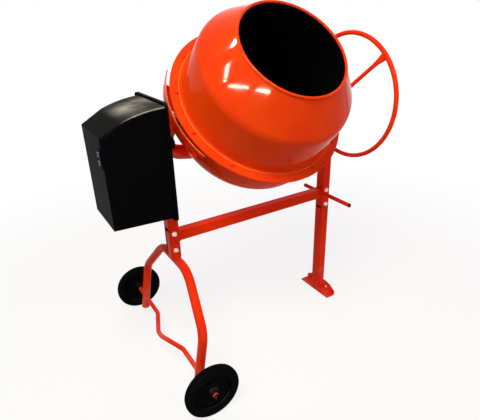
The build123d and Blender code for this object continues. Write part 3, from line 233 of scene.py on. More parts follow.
class Finish(Wiring):
    """A procedural material with one Principled shader."""

    def __init__(self, name, **shader):
        self.material = bpy.data.materials.new(name)
        self.material.use_nodes = True
        super().__init__(self.material.node_tree)
        self.shader = self.tree.nodes["Principled BSDF"]
        self.output = self.tree.nodes["Material Output"]
        self.set(**shader)

    def set(self, **values):
        """Sets or links sockets of the shader, named with underscores for spaces."""
        for name, value in values.items():
            self.join(value, self.shader.inputs[name.replace("_", " ")])

    def done(self, tone, rough, skin=None):
        """The material, with its colour, roughness and bump."""
        self.set(Base_Color=tone, Roughness=rough)
        if skin:
            self.set(Normal=skin)
        return self.material

    def place(self, scale=(1, 1, 1)):
        """Object coordinates, stretched."""
        spot = self.add("ShaderNodeTexCoord", output="Object")
        return self.add("ShaderNodeMapping", values={"Vector": spot, "Scale": scale})

    def noise(self, scale, detail=2.0, roughness=0.5, stretch=(1, 1, 1)):
        values = {"Vector": self.place(stretch), "Scale": scale, "Detail": detail, "Roughness": roughness}
        return self.add("ShaderNodeTexNoise", values=values)

    def split(self, vector):
        """X, Y and Z of a vector."""
        outputs = self.add("ShaderNodeSeparateXYZ", values={"Vector": vector}).socket.node.outputs
        return [Wire(self, output) for output in outputs]

    def facing(self):
        """X, Y and Z of the way that the surface faces."""
        return self.split(self.add("ShaderNodeTexCoord", output="Normal"))

    def upward(self):
        """1 on faces that look up, 0 on upright ones and undersides."""
        return self.facing()[2].to(0.15, 1.0)

    def mix(self, share, first, second):
        settings = {"data_type": "RGBA"}
        return self.add("ShaderNodeMix", settings, {0: share, 6: first, 7: second}, 2)

    def bump(self, height, strength, distance, under=None):
        values = {"Height": height, "Strength": strength, "Distance": distance}
        if under:
            values["Normal"] = under
        return self.add("ShaderNodeBump", values=values)

    def edges(self, radius):
        """1 on edges and corners tighter than a radius, 0 on flats."""
        rounded = self.add("ShaderNodeBevel", {"samples": 6}, {"Radius": radius})
        flat = self.add("ShaderNodeNewGeometry", output="Normal")
        values = {0: rounded, 1: flat}
        same = self.add("ShaderNodeVectorMath", {"operation": "DOT_PRODUCT"}, values, "Value")
        return (1 - same).to(0.02, 0.2)


# Finishes


def enamel(name, colours, dust, wear, hollow=None, painted_light_tone=None):
    """Glossy orange enamel: slight orange peel, thin worn edges, dust low down, painted shade in a hollow, and,
    where a tone is given, that tone as painted light: painted shade on the stand, a painted highlight on the seam
    and the guard's lip.
    """
    finish = Finish(name, IOR=1.5, Specular_IOR_Level=0.03, Specular_Tint=(1.0, 0.7, 0.5))
    # A given tone is painted light: painted shade on the stand, a painted highlight on the seam bead and the
    # guard's lip.
    tone = finish.mix(finish.noise(5, 3).to(0.35, 0.75) * 0.45, painted_light_tone or colours.enamel, colours.enamel_deep)
    speckle = finish.noise(210, 3, 0.6).to(0.62, 0.78) * 0.18
    tone = finish.mix(speckle, tone, colours.enamel_deep)
    chips = finish.noise(90, 4, 0.65).to(0.54, 0.64)
    edge = finish.edges(0.0011) * chips * wear
    tone = finish.mix(edge, tone, colours.undercoat)
    x, y, z = finish.split(finish.place())
    cloud = finish.noise(14, 5, 0.6).to(0.40, 0.75)
    low_dust = (1 - z.to(0.0, 0.30)) * cloud * dust
    tone = finish.mix(low_dust, tone, colours.cement)
    # Painted shade: the bores of the posts, handle and axle, and the blade bolts inside the drum, are coloured
    # near black.
    if hollow:
        tone = finish.mix(hollow(x, y, z), tone, colours.inside_shade)
    streaks = finish.noise(3.0, 4, 0.6, (9, 9, 1.2)).to(0.45, 0.8)
    gloss = 0.05 + 0.04 * streaks + 0.25 * low_dust + 0.25 * edge
    peel = finish.bump(finish.noise(420, 1), 0.012, 0.0004)
    wave = finish.bump(finish.noise(16, 1), 0.012, 0.0010, peel)
    return finish.done(tone, gloss, wave)


def shade_lining(name, colours):
    """Painted shade: near-black inside of the drum, standing for the shade in it, with a thin film of dried
    cement.
    """
    finish = Finish(name, Specular_IOR_Level=0.01)
    film = finish.noise(9, 6, 0.62).to(0.60, 0.88) * 0.012
    tone = finish.mix(film, colours.drum_shade_black, colours.cement)
    rough = 0.72 + 0.2 * finish.noise(30, 3)
    skin = finish.bump(finish.noise(160, 4, 0.6), 0.25, 0.0006)
    return finish.done(tone, rough, skin)


def moulding(name, colours, gloss=0.40, grain=0.20, dust=0.05, worn=None):
    """Black moulded plastic with a fine grain, a film of dust on what looks up, faint scuffs, and on the motor
    cover a painted highlight.
    """
    finish = Finish(name, IOR=1.48, Specular_IOR_Level=0.006)
    # Dust on what looks up; on the motor cover it also stands as a painted highlight.
    dust_and_highlight = finish.upward() * (0.25 + 0.75 * finish.noise(9, 4, 0.6).to(0.35, 0.62)) * dust
    # On the motor cover, worn adds painted highlight: a pale crown patch and a pale front-edge line.
    if worn:
        dust_and_highlight = worn(finish, dust_and_highlight)
    scuff = finish.noise(26, 5, 0.7, (1, 1, 5)).to(0.68, 0.76) * 0.012
    tone = finish.mix(dust_and_highlight + scuff, colours.plastic, colours.cement)
    rough = gloss + 0.10 * finish.noise(7, 3) + 0.4 * scuff + dust_and_highlight
    skin = finish.bump(finish.noise(900, 2), grain, 0.00025)
    return finish.done(tone, rough, skin)


def plating(name, colours, dull=0.0):
    """Zinc plate: bright, faintly spangled, with a warm passivated tint, or dulled by grease and rust."""
    finish = Finish(name, Metallic=1.0)
    grid = {"Vector": finish.place(), "Scale": 260}
    cells = finish.add("ShaderNodeTexVoronoi", values=grid, output="Distance")
    tint = finish.noise(60, 3).to(0.45, 0.7) * 0.35
    tone = finish.mix(tint, colours.zinc, colours.passivate)
    tone = finish.mix((0.7 + 0.3 * finish.noise(80, 3)) * dull, tone, colours.grease)
    rough = 0.24 + 0.22 * cells + 0.10 * finish.noise(40, 4)
    return finish.done(tone, rough, finish.bump(cells, 0.08, 0.0002))


def casting(name, colours):
    """Greased cast iron, machined bright on its worn edges."""
    finish = Finish(name, Metallic=0.85)
    worn = finish.edges(0.0010) * 0.6
    film = finish.noise(35, 5, 0.6).to(0.5, 0.72)
    tone = finish.mix(worn, colours.iron, colours.zinc)
    tone = finish.mix(film * 0.7, tone, colours.grease)
    rough = 0.52 - 0.22 * film
    skin = finish.bump(finish.noise(240, 4, 0.6), 0.35, 0.0005)
    return finish.done(tone, rough, skin)


def tyre_rubber(name, colours):
    """Solid black rubber, dusty where it rolls."""
    finish = Finish(name, Specular_IOR_Level=0.01)
    dust = finish.noise(45, 5, 0.65).to(0.55, 0.85) * 0.030
    tone = finish.mix(dust, colours.rubber, colours.cement)
    rough = 0.62 + 0.2 * finish.noise(25, 3)
    skin = finish.bump(finish.noise(600, 3), 0.35, 0.0003)
    return finish.done(tone, rough, skin)


def belting(name, colours):
    """Ribbed belt: dull rubber with faint dusty ribs along it."""
    finish = Finish(name, Specular_IOR_Level=0.2)
    along = {"Vector": finish.place(), "Scale": 75}
    ribs = finish.add("ShaderNodeTexWave", {"bands_direction": "X"}, along, "Fac")
    tone = finish.mix(ribs * 0.08, colours.rubber, colours.cement)
    return finish.done(tone, 0.7, finish.bump(ribs, 0.6, 0.0008))


def cast_alloy(name, colours):
    """Bead-blasted motor case."""
    finish = Finish(name, Metallic=0.9)
    film = finish.noise(20, 5, 0.6).to(0.5, 0.8) * 0.3
    tone = finish.mix(film, colours.alloy, colours.iron)
    rough = 0.42 + 0.15 * finish.noise(50, 3)
    return finish.done(tone, rough, finish.bump(finish.noise(700, 2), 0.3, 0.0003))


def push_button(name, colours):
    """Dark blue button with a soft gloss."""
    finish = Finish(name, Coat_Weight=0.2, Specular_IOR_Level=0.3)
    tone = finish.mix(finish.noise(120, 3).to(0.6, 0.8) * 0.2, colours.button, colours.plastic)
    return finish.done(tone, 0.30 + 0.1 * finish.noise(80, 2))


# These masks mark where painted shade goes: the bores of the tubes and the inside of the drum.
def inside_posts(x, y, z):
    """1 in the hollows of the two posts, and on the tubes that stand in them."""
    wall = 0.0022
    tube = half_size("leg_socket")
    left, right = (abs(x - middle(post).x) < tube.x - wall for post in ("left_post", "right_post"))
    return (left | right) * (abs(y) < tube.y - wall)


def in_bore(x, z, centre, outside):
    """1 in the bore of a tube along Y, past a thin painted end."""
    end_wall = 0.001
    return ((x - centre.x) ** 2 + (z - centre.z) ** 2) < (outside - end_wall) ** 2


def inside_handle(x, y, z):
    """1 in the lift handle's bore."""
    return in_bore(x, z, middle("lift_handle"), half_size("lift_handle").z)


def inside_axle(x, y, z):
    """1 in the axle's bore, at its ends."""
    depth = 0.012
    low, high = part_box("axle")
    spot = middle("front_wheel_hub")
    by_ends = 1 - (abs(y) < high.y - depth)
    return in_bore(x, z, spot, spot.z - low.z) * by_ends


def inside_drum(x, y, z):
    """1 nearer the drum's axis than the inner face of its wall."""
    radius = 0.2785
    spot = [at - centre for at, centre in zip((x, y, z), tilt_point)]
    along = sum(part * way for part, way in zip(spot, drum_dir))
    return (sum(part**2 for part in spot) - along**2) < radius**2


def crown_dust_and_highlight(finish, dust):
    """Dust and painted highlight in the middle of the motor cover's crown, and a pale line of painted highlight
    along its rounded front edge.
    """
    no_highlight_at, full_highlight_at, half_width, edge_share = -0.045, 0.010, 0.09, 0.7
    x, y, _ = finish.split(finish.place())
    _, forward, up = finish.facing()
    spot = middle("motor_cover")
    inner = x.to(spot.x + no_highlight_at, spot.x + full_highlight_at)
    dust_and_highlight = dust * (1 - 0.75 * abs(y - spot.y).to(0.0, half_width))
    front = 0 - forward
    line = front.to(0.35, 0.55) * (1 - front.to(0.70, 0.85)) * up.to(0.3, 0.5)
    return inner * (dust_and_highlight | line * edge_share)


def make_finishes(colours):
    """Every finish by its slot's name, and the extra ones that only some pieces use."""
    # The stand's base tone is painted shade, a darker and redder copy of the drum's orange.
    stand = {"wear": 0.5, "painted_light_tone": colours.enamel_stand_shade}
    drum = {"dust": 0.0, "wear": 0.3}
    return {
        "orange_paint": enamel("orange_enamel", colours, 0.25, **stand),
        "post_paint": enamel("post_enamel", colours, 0.25, hollow=inside_posts, **stand),
        "handle_paint": enamel("handle_enamel", colours, 0.0, hollow=inside_handle, **stand),
        "axle_paint": enamel("axle_enamel", colours, 0.2, hollow=inside_axle, **stand),
        "drum_paint": enamel("drum_enamel", colours, **drum),
        # The seam's lighter enamel is a painted highlight.
        "seam_paint": enamel("seam_highlight_enamel", colours, painted_light_tone=colours.enamel_highlight, **drum),
        "blade_bolt_paint": enamel("bolt_enamel", colours, hollow=inside_drum, **drum),
        # The near-black linings of the drum and of the mixing blades are painted shade.
        "drum_shade_lining": shade_lining("drum_shade_lining", colours),
        "black_lining": shade_lining("blade_shade_lining", colours),
        "zinc_steel": plating("zinc_plate", colours),
        "dull_steel": plating("dull_plate", colours, 1.0),
        "black_plastic": moulding("black_moulding", colours),
        # The motor cover's pale crown patch and front-edge line are painted highlight, with some dust.
        "cover_plastic": moulding("cover_moulding", colours, dust=0.75, worn=crown_dust_and_highlight),
        "black_gloss": moulding("gloss_moulding", colours, 0.30, 0.08),
        "tyre_rubber": tyre_rubber("tyre_rubber", colours),
        "cast_iron": casting("greased_iron", colours),
        "belt_rubber": belting("ribbed_belt", colours),
        "motor_aluminium": cast_alloy("motor_alloy", colours),
        "blue_plastic": push_button("blue_button", colours),
    }


# Nodes whose finish differs from that of their slot
special_finishes = {
    **dict.fromkeys(("left_post", "right_post", "leg_socket", "right_leg"), "post_paint"),
    "lift_handle": "handle_paint", "axle": "axle_paint", "blade_bolts": "blade_bolt_paint",
    "motor_cover": "cover_plastic", "split_pins": "dull_steel",
}
finishes = {}


# Shaping


def frame_at(origin, axis, side=None):
    """Matrix of a place: its Z along an axis, its X towards a side."""
    z = Vector(axis).normalized()
    x = Vector(side) if side is not None else z.orthogonal()
    x = (x - z * x.dot(z)).normalized()
    turn = Matrix((x, z.cross(x), z)).transposed()
    return Matrix.Translation(origin) @ turn.to_4x4()


def raised(place, height):
    """Place moved up its own Z."""
    return place @ Matrix.Translation((0, 0, height))


def in_scene(name, data):
    """Object made of some data, linked to the scene."""
    made = bpy.data.objects.new(name, data)
    bpy.context.scene.collection.objects.link(made)
    return made


def keep(name, shape, body, finish, stands_for=(), sharp=32):
    """Makes a finished bmesh an object that rides on a body."""
    bmesh.ops.recalc_face_normals(shape, faces=shape.faces)
    mesh = bpy.data.meshes.new(name)
    shape.to_mesh(mesh)
    shape.free()
    for part in finish if isinstance(finish, list) else [finish]:
        mesh.materials.append(finishes[part])
    mesh.shade_smooth()
    mesh.set_sharp_from_angle(angle=radians(sharp))
    made = in_scene(name, mesh)
    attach(made, body)
    if stands_for:
        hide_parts(*stands_for)


def soften(shape, geom, reach, steps, affect="VERTICES"):
    """Rounds corners or edges over a reach."""
    bmesh.ops.bevel(shape, geom=geom, offset=reach, segments=steps, profile=0.5, affect=affect, material=-1)


def outline(shape, points, bends, place):
    """Closed wire through points (radius, height) in a place's XZ plane, corners rounded over a reach."""
    corners = [shape.verts.new((x, 0, z)) for x, z in points]
    for pair in in_pairs(corners, True):
        shape.edges.new(pair)
    for at, (reach, steps) in bends.items():
        soften(shape, [corners[at]], reach, steps)
    bmesh.ops.transform(shape, matrix=place, verts=shape.verts)
    return shape


def block(inner, outer, low, high):
    """Outline of a rectangle, from its inner low corner round."""
    return [(inner, low), (outer, low), (outer, high), (inner, high)]


def mirrored(side):
    """Outline of a wheel part from the points (radius, out) of one of its sides."""
    return [(radius, -out) for radius, out in side] + [(radius, out) for radius, out in reversed(side)]


def lathe(points, bends, place, steps=96):
    """Closed outline spun a full turn about a place's Z axis."""
    shape = outline(bmesh.new(), points, bends, place)
    bmesh.ops.spin(
        shape, geom=shape.verts[:] + shape.edges[:], cent=place.translation,
        axis=place.to_3x3() @ UP, angle=2 * pi, steps=steps, use_merge=True,
    )
    bmesh.ops.remove_doubles(shape, verts=shape.verts, dist=1e-6)
    return shape


def sweep(points, bends, place, first, last, steps):
    """Closed outline spun about a place's Z axis from one angle to another, in degrees, its ends closed."""
    shape = outline(bmesh.new(), points, bends, place @ Matrix.Rotation(radians(first), 4, "Z"))
    bmesh.ops.spin(
        shape, geom=shape.verts[:] + shape.edges[:], cent=place.translation,
        axis=place.to_3x3() @ UP, angle=radians(last - first), steps=steps,
    )
    ends = [edge for edge in shape.edges if edge.is_boundary]
    bmesh.ops.holes_fill(shape, edges=ends, sides=len(ends))
    return shape


def edges_of(made):
    """Edges of a new piece, each once, in a fixed order."""
    return list(dict.fromkeys(edge for corner in made["verts"] for edge in corner.link_edges))


def prism(shape, place, sides, radius, height, crown=0.0):
    """Straight-sided piece on a place: its foot there, its top edge bevelled by a crown."""
    made = bmesh.ops.create_cone(
        shape, cap_ends=True, segments=sides, radius1=radius, radius2=radius, depth=height,
        matrix=raised(place, height / 2),
    )
    if crown:
        foot = place.translation
        up = place.to_3x3() @ UP
        rim = [
            edge for edge in edges_of(made)
            if all((end.co - foot).dot(up) > height * 0.99 for end in edge.verts)
        ]
        soften(shape, rim, crown, 2, "EDGES")


def hex_head(shape, place, sizes, washer=True):
    """Hexagonal head with a chamfered top, its foot on a place, and a washer under it."""
    if washer:
        prism(shape, place, 28, sizes.washer_radius, sizes.washer_thickness, 0.0003)
        place = raised(place, sizes.washer_thickness)
    prism(shape, place, 6, sizes.bolt_half / cos(pi / 6), sizes.bolt_height, 0.0009)


def in_pairs(row, closed):
    """Each item of a row with the next one, round to the first again where it is closed."""
    return list(zip(row, row[1:] + row[:1] if closed else row[1:]))


def bead(shape, route, radius, closed=False, step=0.0045):
    """Weld bead along a route of straight runs, rippled like a row of coins."""
    spots = []
    for start, end in in_pairs(route, closed):
        count = max(1, round((end - start).length / step))
        spots += [start.lerp(end, index / count) for index in range(count)]
    if not closed:
        spots.append(route[-1])
    last = len(spots) - 1
    rings = []
    for index, spot in enumerate(spots):
        before = spots[index - 1 if closed else max(index - 1, 0)]
        after = spots[(index + 1) % len(spots) if closed else min(index + 1, last)]
        ahead = (after - before).normalized()
        side = UP if abs(ahead.z) < 0.9 else ALONG
        swell = radius * (1.0 if index % 2 else 0.82)
        ring = bmesh.ops.create_circle(shape, segments=8, radius=swell, matrix=frame_at(spot, ahead, side))
        rings.append(edges_of(ring))
    for near, far in in_pairs(rings, closed):
        bmesh.ops.bridge_loops(shape, edges=near + far)
    if not closed:
        bmesh.ops.holes_fill(shape, edges=rings[0] + rings[-1], sides=8)


def circle(place, radius, count=28):
    """Points round a circle in a place's XY plane."""
    turns = [2 * pi * index / count for index in range(count)]
    return [place @ Vector((radius * cos(turn), radius * sin(turn), 0)) for turn in turns]


def merge(target, extra):
    """Adds one bmesh to another and frees it."""
    mesh = bpy.data.meshes.new("joined")
    extra.to_mesh(mesh)
    extra.free()
    target.from_mesh(mesh)
    bpy.data.meshes.remove(mesh)


def pull_out(shape, faces):
    """Puts new faces, which can be moved, in the place of some; gives their corners."""
    made = bmesh.ops.extrude_face_region(shape, geom=faces)["geom"]
    corners = [piece for piece in made if isinstance(piece, bmesh.types.BMVert)]
    bmesh.ops.delete(shape, geom=faces, context="FACES_KEEP_BOUNDARY")
    return corners


def sector(spot, count):
    """Number of the sector, of a count of them, in which a spot lies round Z."""
    return int((atan2(spot.y, spot.x) + pi) / (2 * pi) * count)


# Operators


class MixerOperator(bpy.types.Operator):
    """Shared base of the mixer's operators."""

    bl_options = {"REGISTER", "UNDO"}

    @property
    def sizes(self):
        return bpy.context.scene.mixer_sizes

    @property
    def colours(self):
        return bpy.context.scene.mixer_colours

    @property
    def drum(self):
        """Place of the drum's flange joint: its Z along the drum, its X along the tilt axis."""
        return frame_at(tilt_point + drum_dir * self.sizes.flange_rise, drum_dir, ALONG)


class MIXER_OT_finishes(MixerOperator):
    """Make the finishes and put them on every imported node"""

    bl_idname = "mixer.finishes"
    bl_label = "Finishes"

    def execute(self, context):
        finishes.update(make_finishes(self.colours))
        for name, node in nodes.items():
            slot = slot_of_node[name]
            node.data.materials.clear()
            node.data.materials.append(finishes[special_finishes.get(name, slot)])
        return {"FINISHED"}


class MIXER_OT_stage(MixerOperator):
    """Floor, lamps, surroundings and camera"""

    bl_idname = "mixer.stage"
    bl_label = "Stage"

    camera_place = (-0.7993, -1.3151, 1.2519)
    camera_right = (0.85111, -0.52417, -0.02922)
    camera_up = (0.24415, 0.34593, 0.90594)
    camera_ahead = (0.46476, 0.77819, -0.42240)
    camera_lens = 31.96
    glow_share = 0.80
    shadow_reach = (1.0, 2.4)
    world_tint, world_strength = (1.0, 0.86, 0.88), 0.30
    tube_width, tube_power = 0.022, 100

    def execute(self, context):
        scene = context.scene
        scene.view_settings.view_transform = "Standard"
        self.floor()
        self.surroundings(scene)
        self.lamps()
        lens = bpy.data.cameras.new("camera")
        lens.lens = self.camera_lens
        lens.sensor_width = 36
        camera = in_scene("camera", lens)
        columns = Matrix((self.camera_right, self.camera_up, [-x for x in self.camera_ahead])).transposed()
        camera.matrix_world = Matrix.Translation(self.camera_place) @ columns.to_4x4()
        scene.camera = camera
        return {"FINISHED"}

    def floor(self):
        """Pale floor that turns plain white away from the mixer, beyond its shadow."""
        shape = bmesh.new()
        bmesh.ops.create_grid(shape, x_segments=1, y_segments=1, size=9)
        mesh = bpy.data.meshes.new("floor")
        shape.to_mesh(mesh)
        shape.free()
        finish = Finish("pale_floor", Roughness=0.8, Specular_IOR_Level=0.1)
        seen = finish.seen_directly()
        tone = finish.mix(finish.noise(1.5, 3) * 0.1, self.colours.floor, self.colours.floor_shade)
        finish.set(Base_Color=finish.mix(seen, tone, self.colours.floor_seen))
        away = finish.add("ShaderNodeVectorMath", {"operation": "LENGTH"}, {0: finish.place()}, "Value")
        share = seen * (self.glow_share + (1 - self.glow_share) * away.to(*self.shadow_reach))
        glow = finish.add("ShaderNodeEmission", values={"Color": (1, 1, 1), "Strength": 1.0})
        lit = Wire(finish, finish.shader.outputs[0])
        both = finish.add("ShaderNodeMixShader", values={0: share, 1: lit, 2: glow})
        finish.join(both, finish.output.inputs["Surface"])
        mesh.materials.append(finish.material)
        in_scene("floor", mesh)

    def surroundings(self, scene):
        """Soft, faintly rosy fill that is seen as plain white."""
        world = bpy.data.worlds.new("surroundings")
        world.use_nodes = True
        scene.world = world
        wiring = Wiring(world.node_tree)
        soft = {"Color": self.world_tint, "Strength": self.world_strength}
        fill = wiring.add("ShaderNodeBackground", values=soft)
        white = wiring.add("ShaderNodeBackground", values={"Color": (1, 1, 1), "Strength": 1.0})
        choice = wiring.add("ShaderNodeMixShader", values={0: wiring.seen_directly(), 1: fill, 2: white})
        wiring.join(choice, world.node_tree.nodes["World Output"].inputs["Surface"])

    def lamps(self):
        """Three large lamps that light the mixer, and four narrow ones that only show as reflections."""
        heart = Vector((0, 0, 0.8))
        for name, place, size, power, tint in (
            ("key_lamp", (-1.4, -1.3, 3.5), (1.4, 1.4), 101, (1.0, 0.98, 0.84)),
            ("fill_lamp", (2.6, -2.8, 1.9), (2.6, 2.0), 34, (1.0, 0.76, 0.80)),
            ("back_lamp", (1.2, 3.2, 2.6), (2.2, 1.6), 36, (1.0, 0.95, 0.92)),
        ):
            lamp = self.lamp(name, Vector(place), heart, size, power)
            lamp.data.color = tint
            lamp.visible_glossy = False
        for name, start, end in (
            ("tube_lamp_high", (-1.25, 0.88, 3.13), (-1.63, 0.57, 3.02)),
            ("tube_lamp_back", (-2.06, 0.01, 2.73), (-2.32, -0.58, 2.31)),
            ("tube_lamp_side", (-2.35, -0.83, 2.16), (-2.12, -1.64, 1.72)),
            ("tube_lamp_low", (-1.96, -1.92, 1.53), (-1.47, -2.40, 1.13)),
        ):
            start, end = Vector(start), Vector(end)
            size = ((end - start).length, self.tube_width)
            tube = self.lamp(name, (start + end) / 2, tilt_point, size, self.tube_power, end - start)
            tube.visible_diffuse = False

    def lamp(self, name, place, target, size, power, run=ALONG):
        """Rectangular lamp that faces a target, its length along a run."""
        light = bpy.data.lights.new(name, "AREA")
        light.shape = "RECTANGLE"
        light.size, light.size_y = size
        light.energy = power
        holder = in_scene(name, light)
        holder.matrix_world = frame_at(place, place - target, run)
        return holder


class MIXER_OT_drum_shells(MixerOperator):
    """Upper and lower drum shells, with a rolled mouth bead and a raised ring round the wall's foot"""

    bl_idname = "mixer.drum_shells"
    bl_label = "Drum shells"

    wall = 0.0025
    ring_foot, ring_top, ring_rise = 0.0066, 0.0048, 0.0022
    seam_radius, seam_half = 0.2918, 0.0019
    steps = 168

    def execute(self, context):
        self.upper(self.sizes, self.drum)
        self.lower(self.sizes, self.drum)
        self.seam(self.sizes, self.drum)
        return {"FINISHED"}

    def seam(self, s, place):
        """Rounded bead of sealant, painted over, on the flange round the wall's foot; its lighter orange is a
        painted highlight.
        """
        half, low = self.seam_half, s.sheet - OVERLAP
        points = block(self.seam_radius - half, self.seam_radius + half, low, low + 1.6 * half)
        shape = lathe(points, {2: (half * 0.9, 5), 3: (half * 0.9, 5)}, place, self.steps)
        keep("drum_seam_bead", shape, "drum", "seam_paint")

    def upper(self, s, place):
        wall = self.wall
        foot = Vector((s.wall_radius, s.sheet))
        shoulder = Vector((s.shoulder_radius, s.wall_height))
        mouth = Vector((s.mouth_radius, s.mouth_height))
        along = (mouth - shoulder).normalized()
        turn = along.angle(shoulder - foot)
        out = Vector((along.y, -along.x))
        bead_middle = mouth - Vector((wall / 2, 0))
        skew = wall * tan(atan2(-along.x, along.y) / 2)
        step = s.sheet + self.ring_rise

        def at_bead(forward, outward):
            return tuple(bead_middle + along * forward + out * outward)

        points = [
            (s.wall_radius - wall, 0), (s.flange_radius, 0), (s.flange_radius, s.sheet),
            (s.wall_radius + self.ring_foot, s.sheet), (s.wall_radius + self.ring_top, step),
            (s.wall_radius - 0.0001, step), tuple(shoulder),
            at_bead(-s.rim_bead, 0.001), at_bead(-s.rim_bead, s.rim_bead),
            at_bead(s.rim_bead, s.rim_bead), at_bead(s.rim_bead, -s.rim_bead),
            at_bead(-s.rim_bead, -s.rim_bead), at_bead(-s.rim_bead, -0.0015),
            (s.shoulder_radius - wall, s.wall_height - skew),
        ]
        bends = {
            1: (0.0006, 2), 2: (0.0010, 3), 3: (0.0006, 2), 4: (0.0008, 3), 5: (0.0016, 4),
            6: (s.shoulder_bend * tan(turn / 2), 14), 8: (0.0030, 5), 9: (0.0042, 7), 10: (0.0042, 7),
            11: (0.0028, 5), 13: ((s.shoulder_bend - wall) * tan(turn / 2), 14),
        }
        self.shell("drum_upper_shell", "drum_cone", points, bends, place)

    def lower(self, s, place):
        inner = s.bowl_radius - s.sheet
        gap = s.hub_radius + 0.0002
        points = [
            (gap, -s.bowl_depth), (s.bowl_radius, -s.bowl_depth), (s.bowl_radius, -s.sheet),
            (s.flange_radius, -s.sheet), (s.flange_radius, 0), (inner, 0),
            (inner, s.sheet - s.bowl_depth), (gap, s.sheet - s.bowl_depth),
        ]
        bends = {
            1: (s.bowl_bend, 26), 2: (0.0018, 4), 3: (0.0010, 3), 4: (0.0006, 2),
            6: (s.bowl_bend - s.sheet, 26),
        }
        self.shell("drum_lower_shell", "drum_bowl", points, bends, place)

    def shell(self, name, node, points, bends, place):
        """Spins a shell, whose faces that look in at the drum's own space get the near-black lining, which is
        painted shade.
        """
        s = self.sizes
        shape = lathe(points, bends, place, self.steps)
        bmesh.ops.recalc_face_normals(shape, faces=shape.faces)
        inward = place.inverted()
        floor_height = 0.01 - s.bowl_depth + s.sheet
        bead_height = s.mouth_height - s.rim_bead * 1.2
        widest = s.bowl_radius - 0.001
        for face in shape.faces:
            centre = inward @ face.calc_center_median()
            radial = Vector((centre.x, centre.y, 0))
            normal = inward.to_3x3() @ face.normal
            floor_face = centre.z < floor_height and normal.z > 0.9
            inner_face = normal.dot(radial) < -0.05 * radial.length or floor_face
            if inner_face and centre.z < bead_height and radial.length < widest:
                face.material_index = 1
        keep(name, shape, "drum", ["drum_paint", "drum_shade_lining"], [node])


class MIXER_OT_gear_guard(MixerOperator):
    """Floor of the gear guard, under the ring gear's teeth, and the rolled lip along its top edge"""

    bl_idname = "mixer.gear_guard"
    bl_label = "Gear guard"

    sheet, floor_sheet = 0.0025, 0.002
    floor_height, floor_reach = -0.042, 26
    inner_edge = 0.298
    pinion_edge, pinion_room = 0.3118, 7.2
    lip_half = 0.0021

    def execute(self, context):
        s = self.sizes
        outer = s.guard_radius - self.sheet + OVERLAP
        reach, room = self.floor_reach, self.pinion_room
        floor = bmesh.new()
        for inner, first, last in (
            (self.inner_edge, 180 - reach, 180 - room),
            (self.pinion_edge, 180 - room, 180 + room),
            (self.inner_edge, 180 + room, 180 + reach),
        ):
            points = block(inner, outer, self.floor_height - self.floor_sheet, self.floor_height)
            merge(floor, sweep(points, {0: (0.0006, 2), 3: (0.0006, 2)}, self.drum, first, last, 12))
        keep("gear_guard_floor", floor, "yoke", "orange_paint")
        centre, half = s.guard_radius - self.sheet / 2, self.lip_half
        points = block(centre - half, centre + half, s.sheet - half, s.sheet + half)
        bends = {corner: (half * 0.98, 4) for corner in range(4)}
        lip = sweep(points, bends, self.drum, 180 - s.guard_half_angle, 180 + s.guard_half_angle, 48)
        # The lip's lighter orange is a painted highlight along the guard's top edge.
        keep("gear_guard_lip", lip, "yoke", "seam_paint")
        return {"FINISHED"}


class MIXER_OT_frame_bolts(MixerOperator):
    """Bolts that hold the legs in the posts: head and washer in front, nut, washer and thread end behind"""

    bl_idname = "mixer.frame_bolts"
    bl_label = "Frame bolts"

    def execute(self, context):
        s = self.sizes
        low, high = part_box("frame_bolts")
        front, back = (corner.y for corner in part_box("left_post"))
        shape = bmesh.new()
        for post in ("left_post", "right_post"):
            for height in (low.z + s.washer_radius, high.z - s.washer_radius):
                x = middle(post).x
                behind = frame_at((x, back, height), BACK, ALONG)
                hex_head(shape, frame_at((x, front, height), -BACK, ALONG), s)
                hex_head(shape, behind, s)
                prism(shape, behind, 18, s.bolt_shank, high.y - back, THREAD_CHAMFER)
        keep("frame_bolt_set", shape, "stand", "zinc_steel", stands_for=["frame_bolts"])
        return {"FINISHED"}


class MIXER_OT_drum_bolts(MixerOperator):
    """Painted bolt heads round the flange, and plated bolts and nuts round the drum's hub"""

    bl_idname = "mixer.drum_bolts"
    bl_label = "Drum bolts"

    flange_shank, hub_thread = 0.0176, 0.0110

    def execute(self, context):
        s = self.sizes
        flange, hub = bmesh.new(), bmesh.new()
        flip = Matrix.Rotation(pi, 4, "X")
        for index in range(s.bolt_count):
            turn = Matrix.Rotation((index + 0.5) * 2 * pi / s.bolt_count, 4, "Z")
            seat = self.drum @ turn @ Matrix.Translation((s.bolt_circle, 0, s.sheet))
            hex_head(flange, seat, s, washer=False)
            foot = raised(seat, -self.flange_shank)
            prism(flange, foot, 14, s.bolt_shank, self.flange_shank + OVERLAP)
        for index in range(s.hub_bolt_count):
            turn = Matrix.Rotation(index * 2 * pi / s.hub_bolt_count, 4, "Z")
            spot = self.drum @ turn @ Matrix.Translation((s.hub_bolt_circle, 0, -s.bowl_depth))
            hex_head(hub, raised(spot, s.sheet), s)
            under = raised(spot, -s.hub_flange) @ flip
            hex_head(hub, under, s)
            prism(hub, under, 18, s.bolt_shank, self.hub_thread, THREAD_CHAMFER)
        keep("flange_bolt_set", flange, "drum", "drum_paint", ["flange_bolts"])
        keep("hub_bolt_set", hub, "drum", "zinc_steel", stands_for=["hub_bolts"])
        return {"FINISHED"}


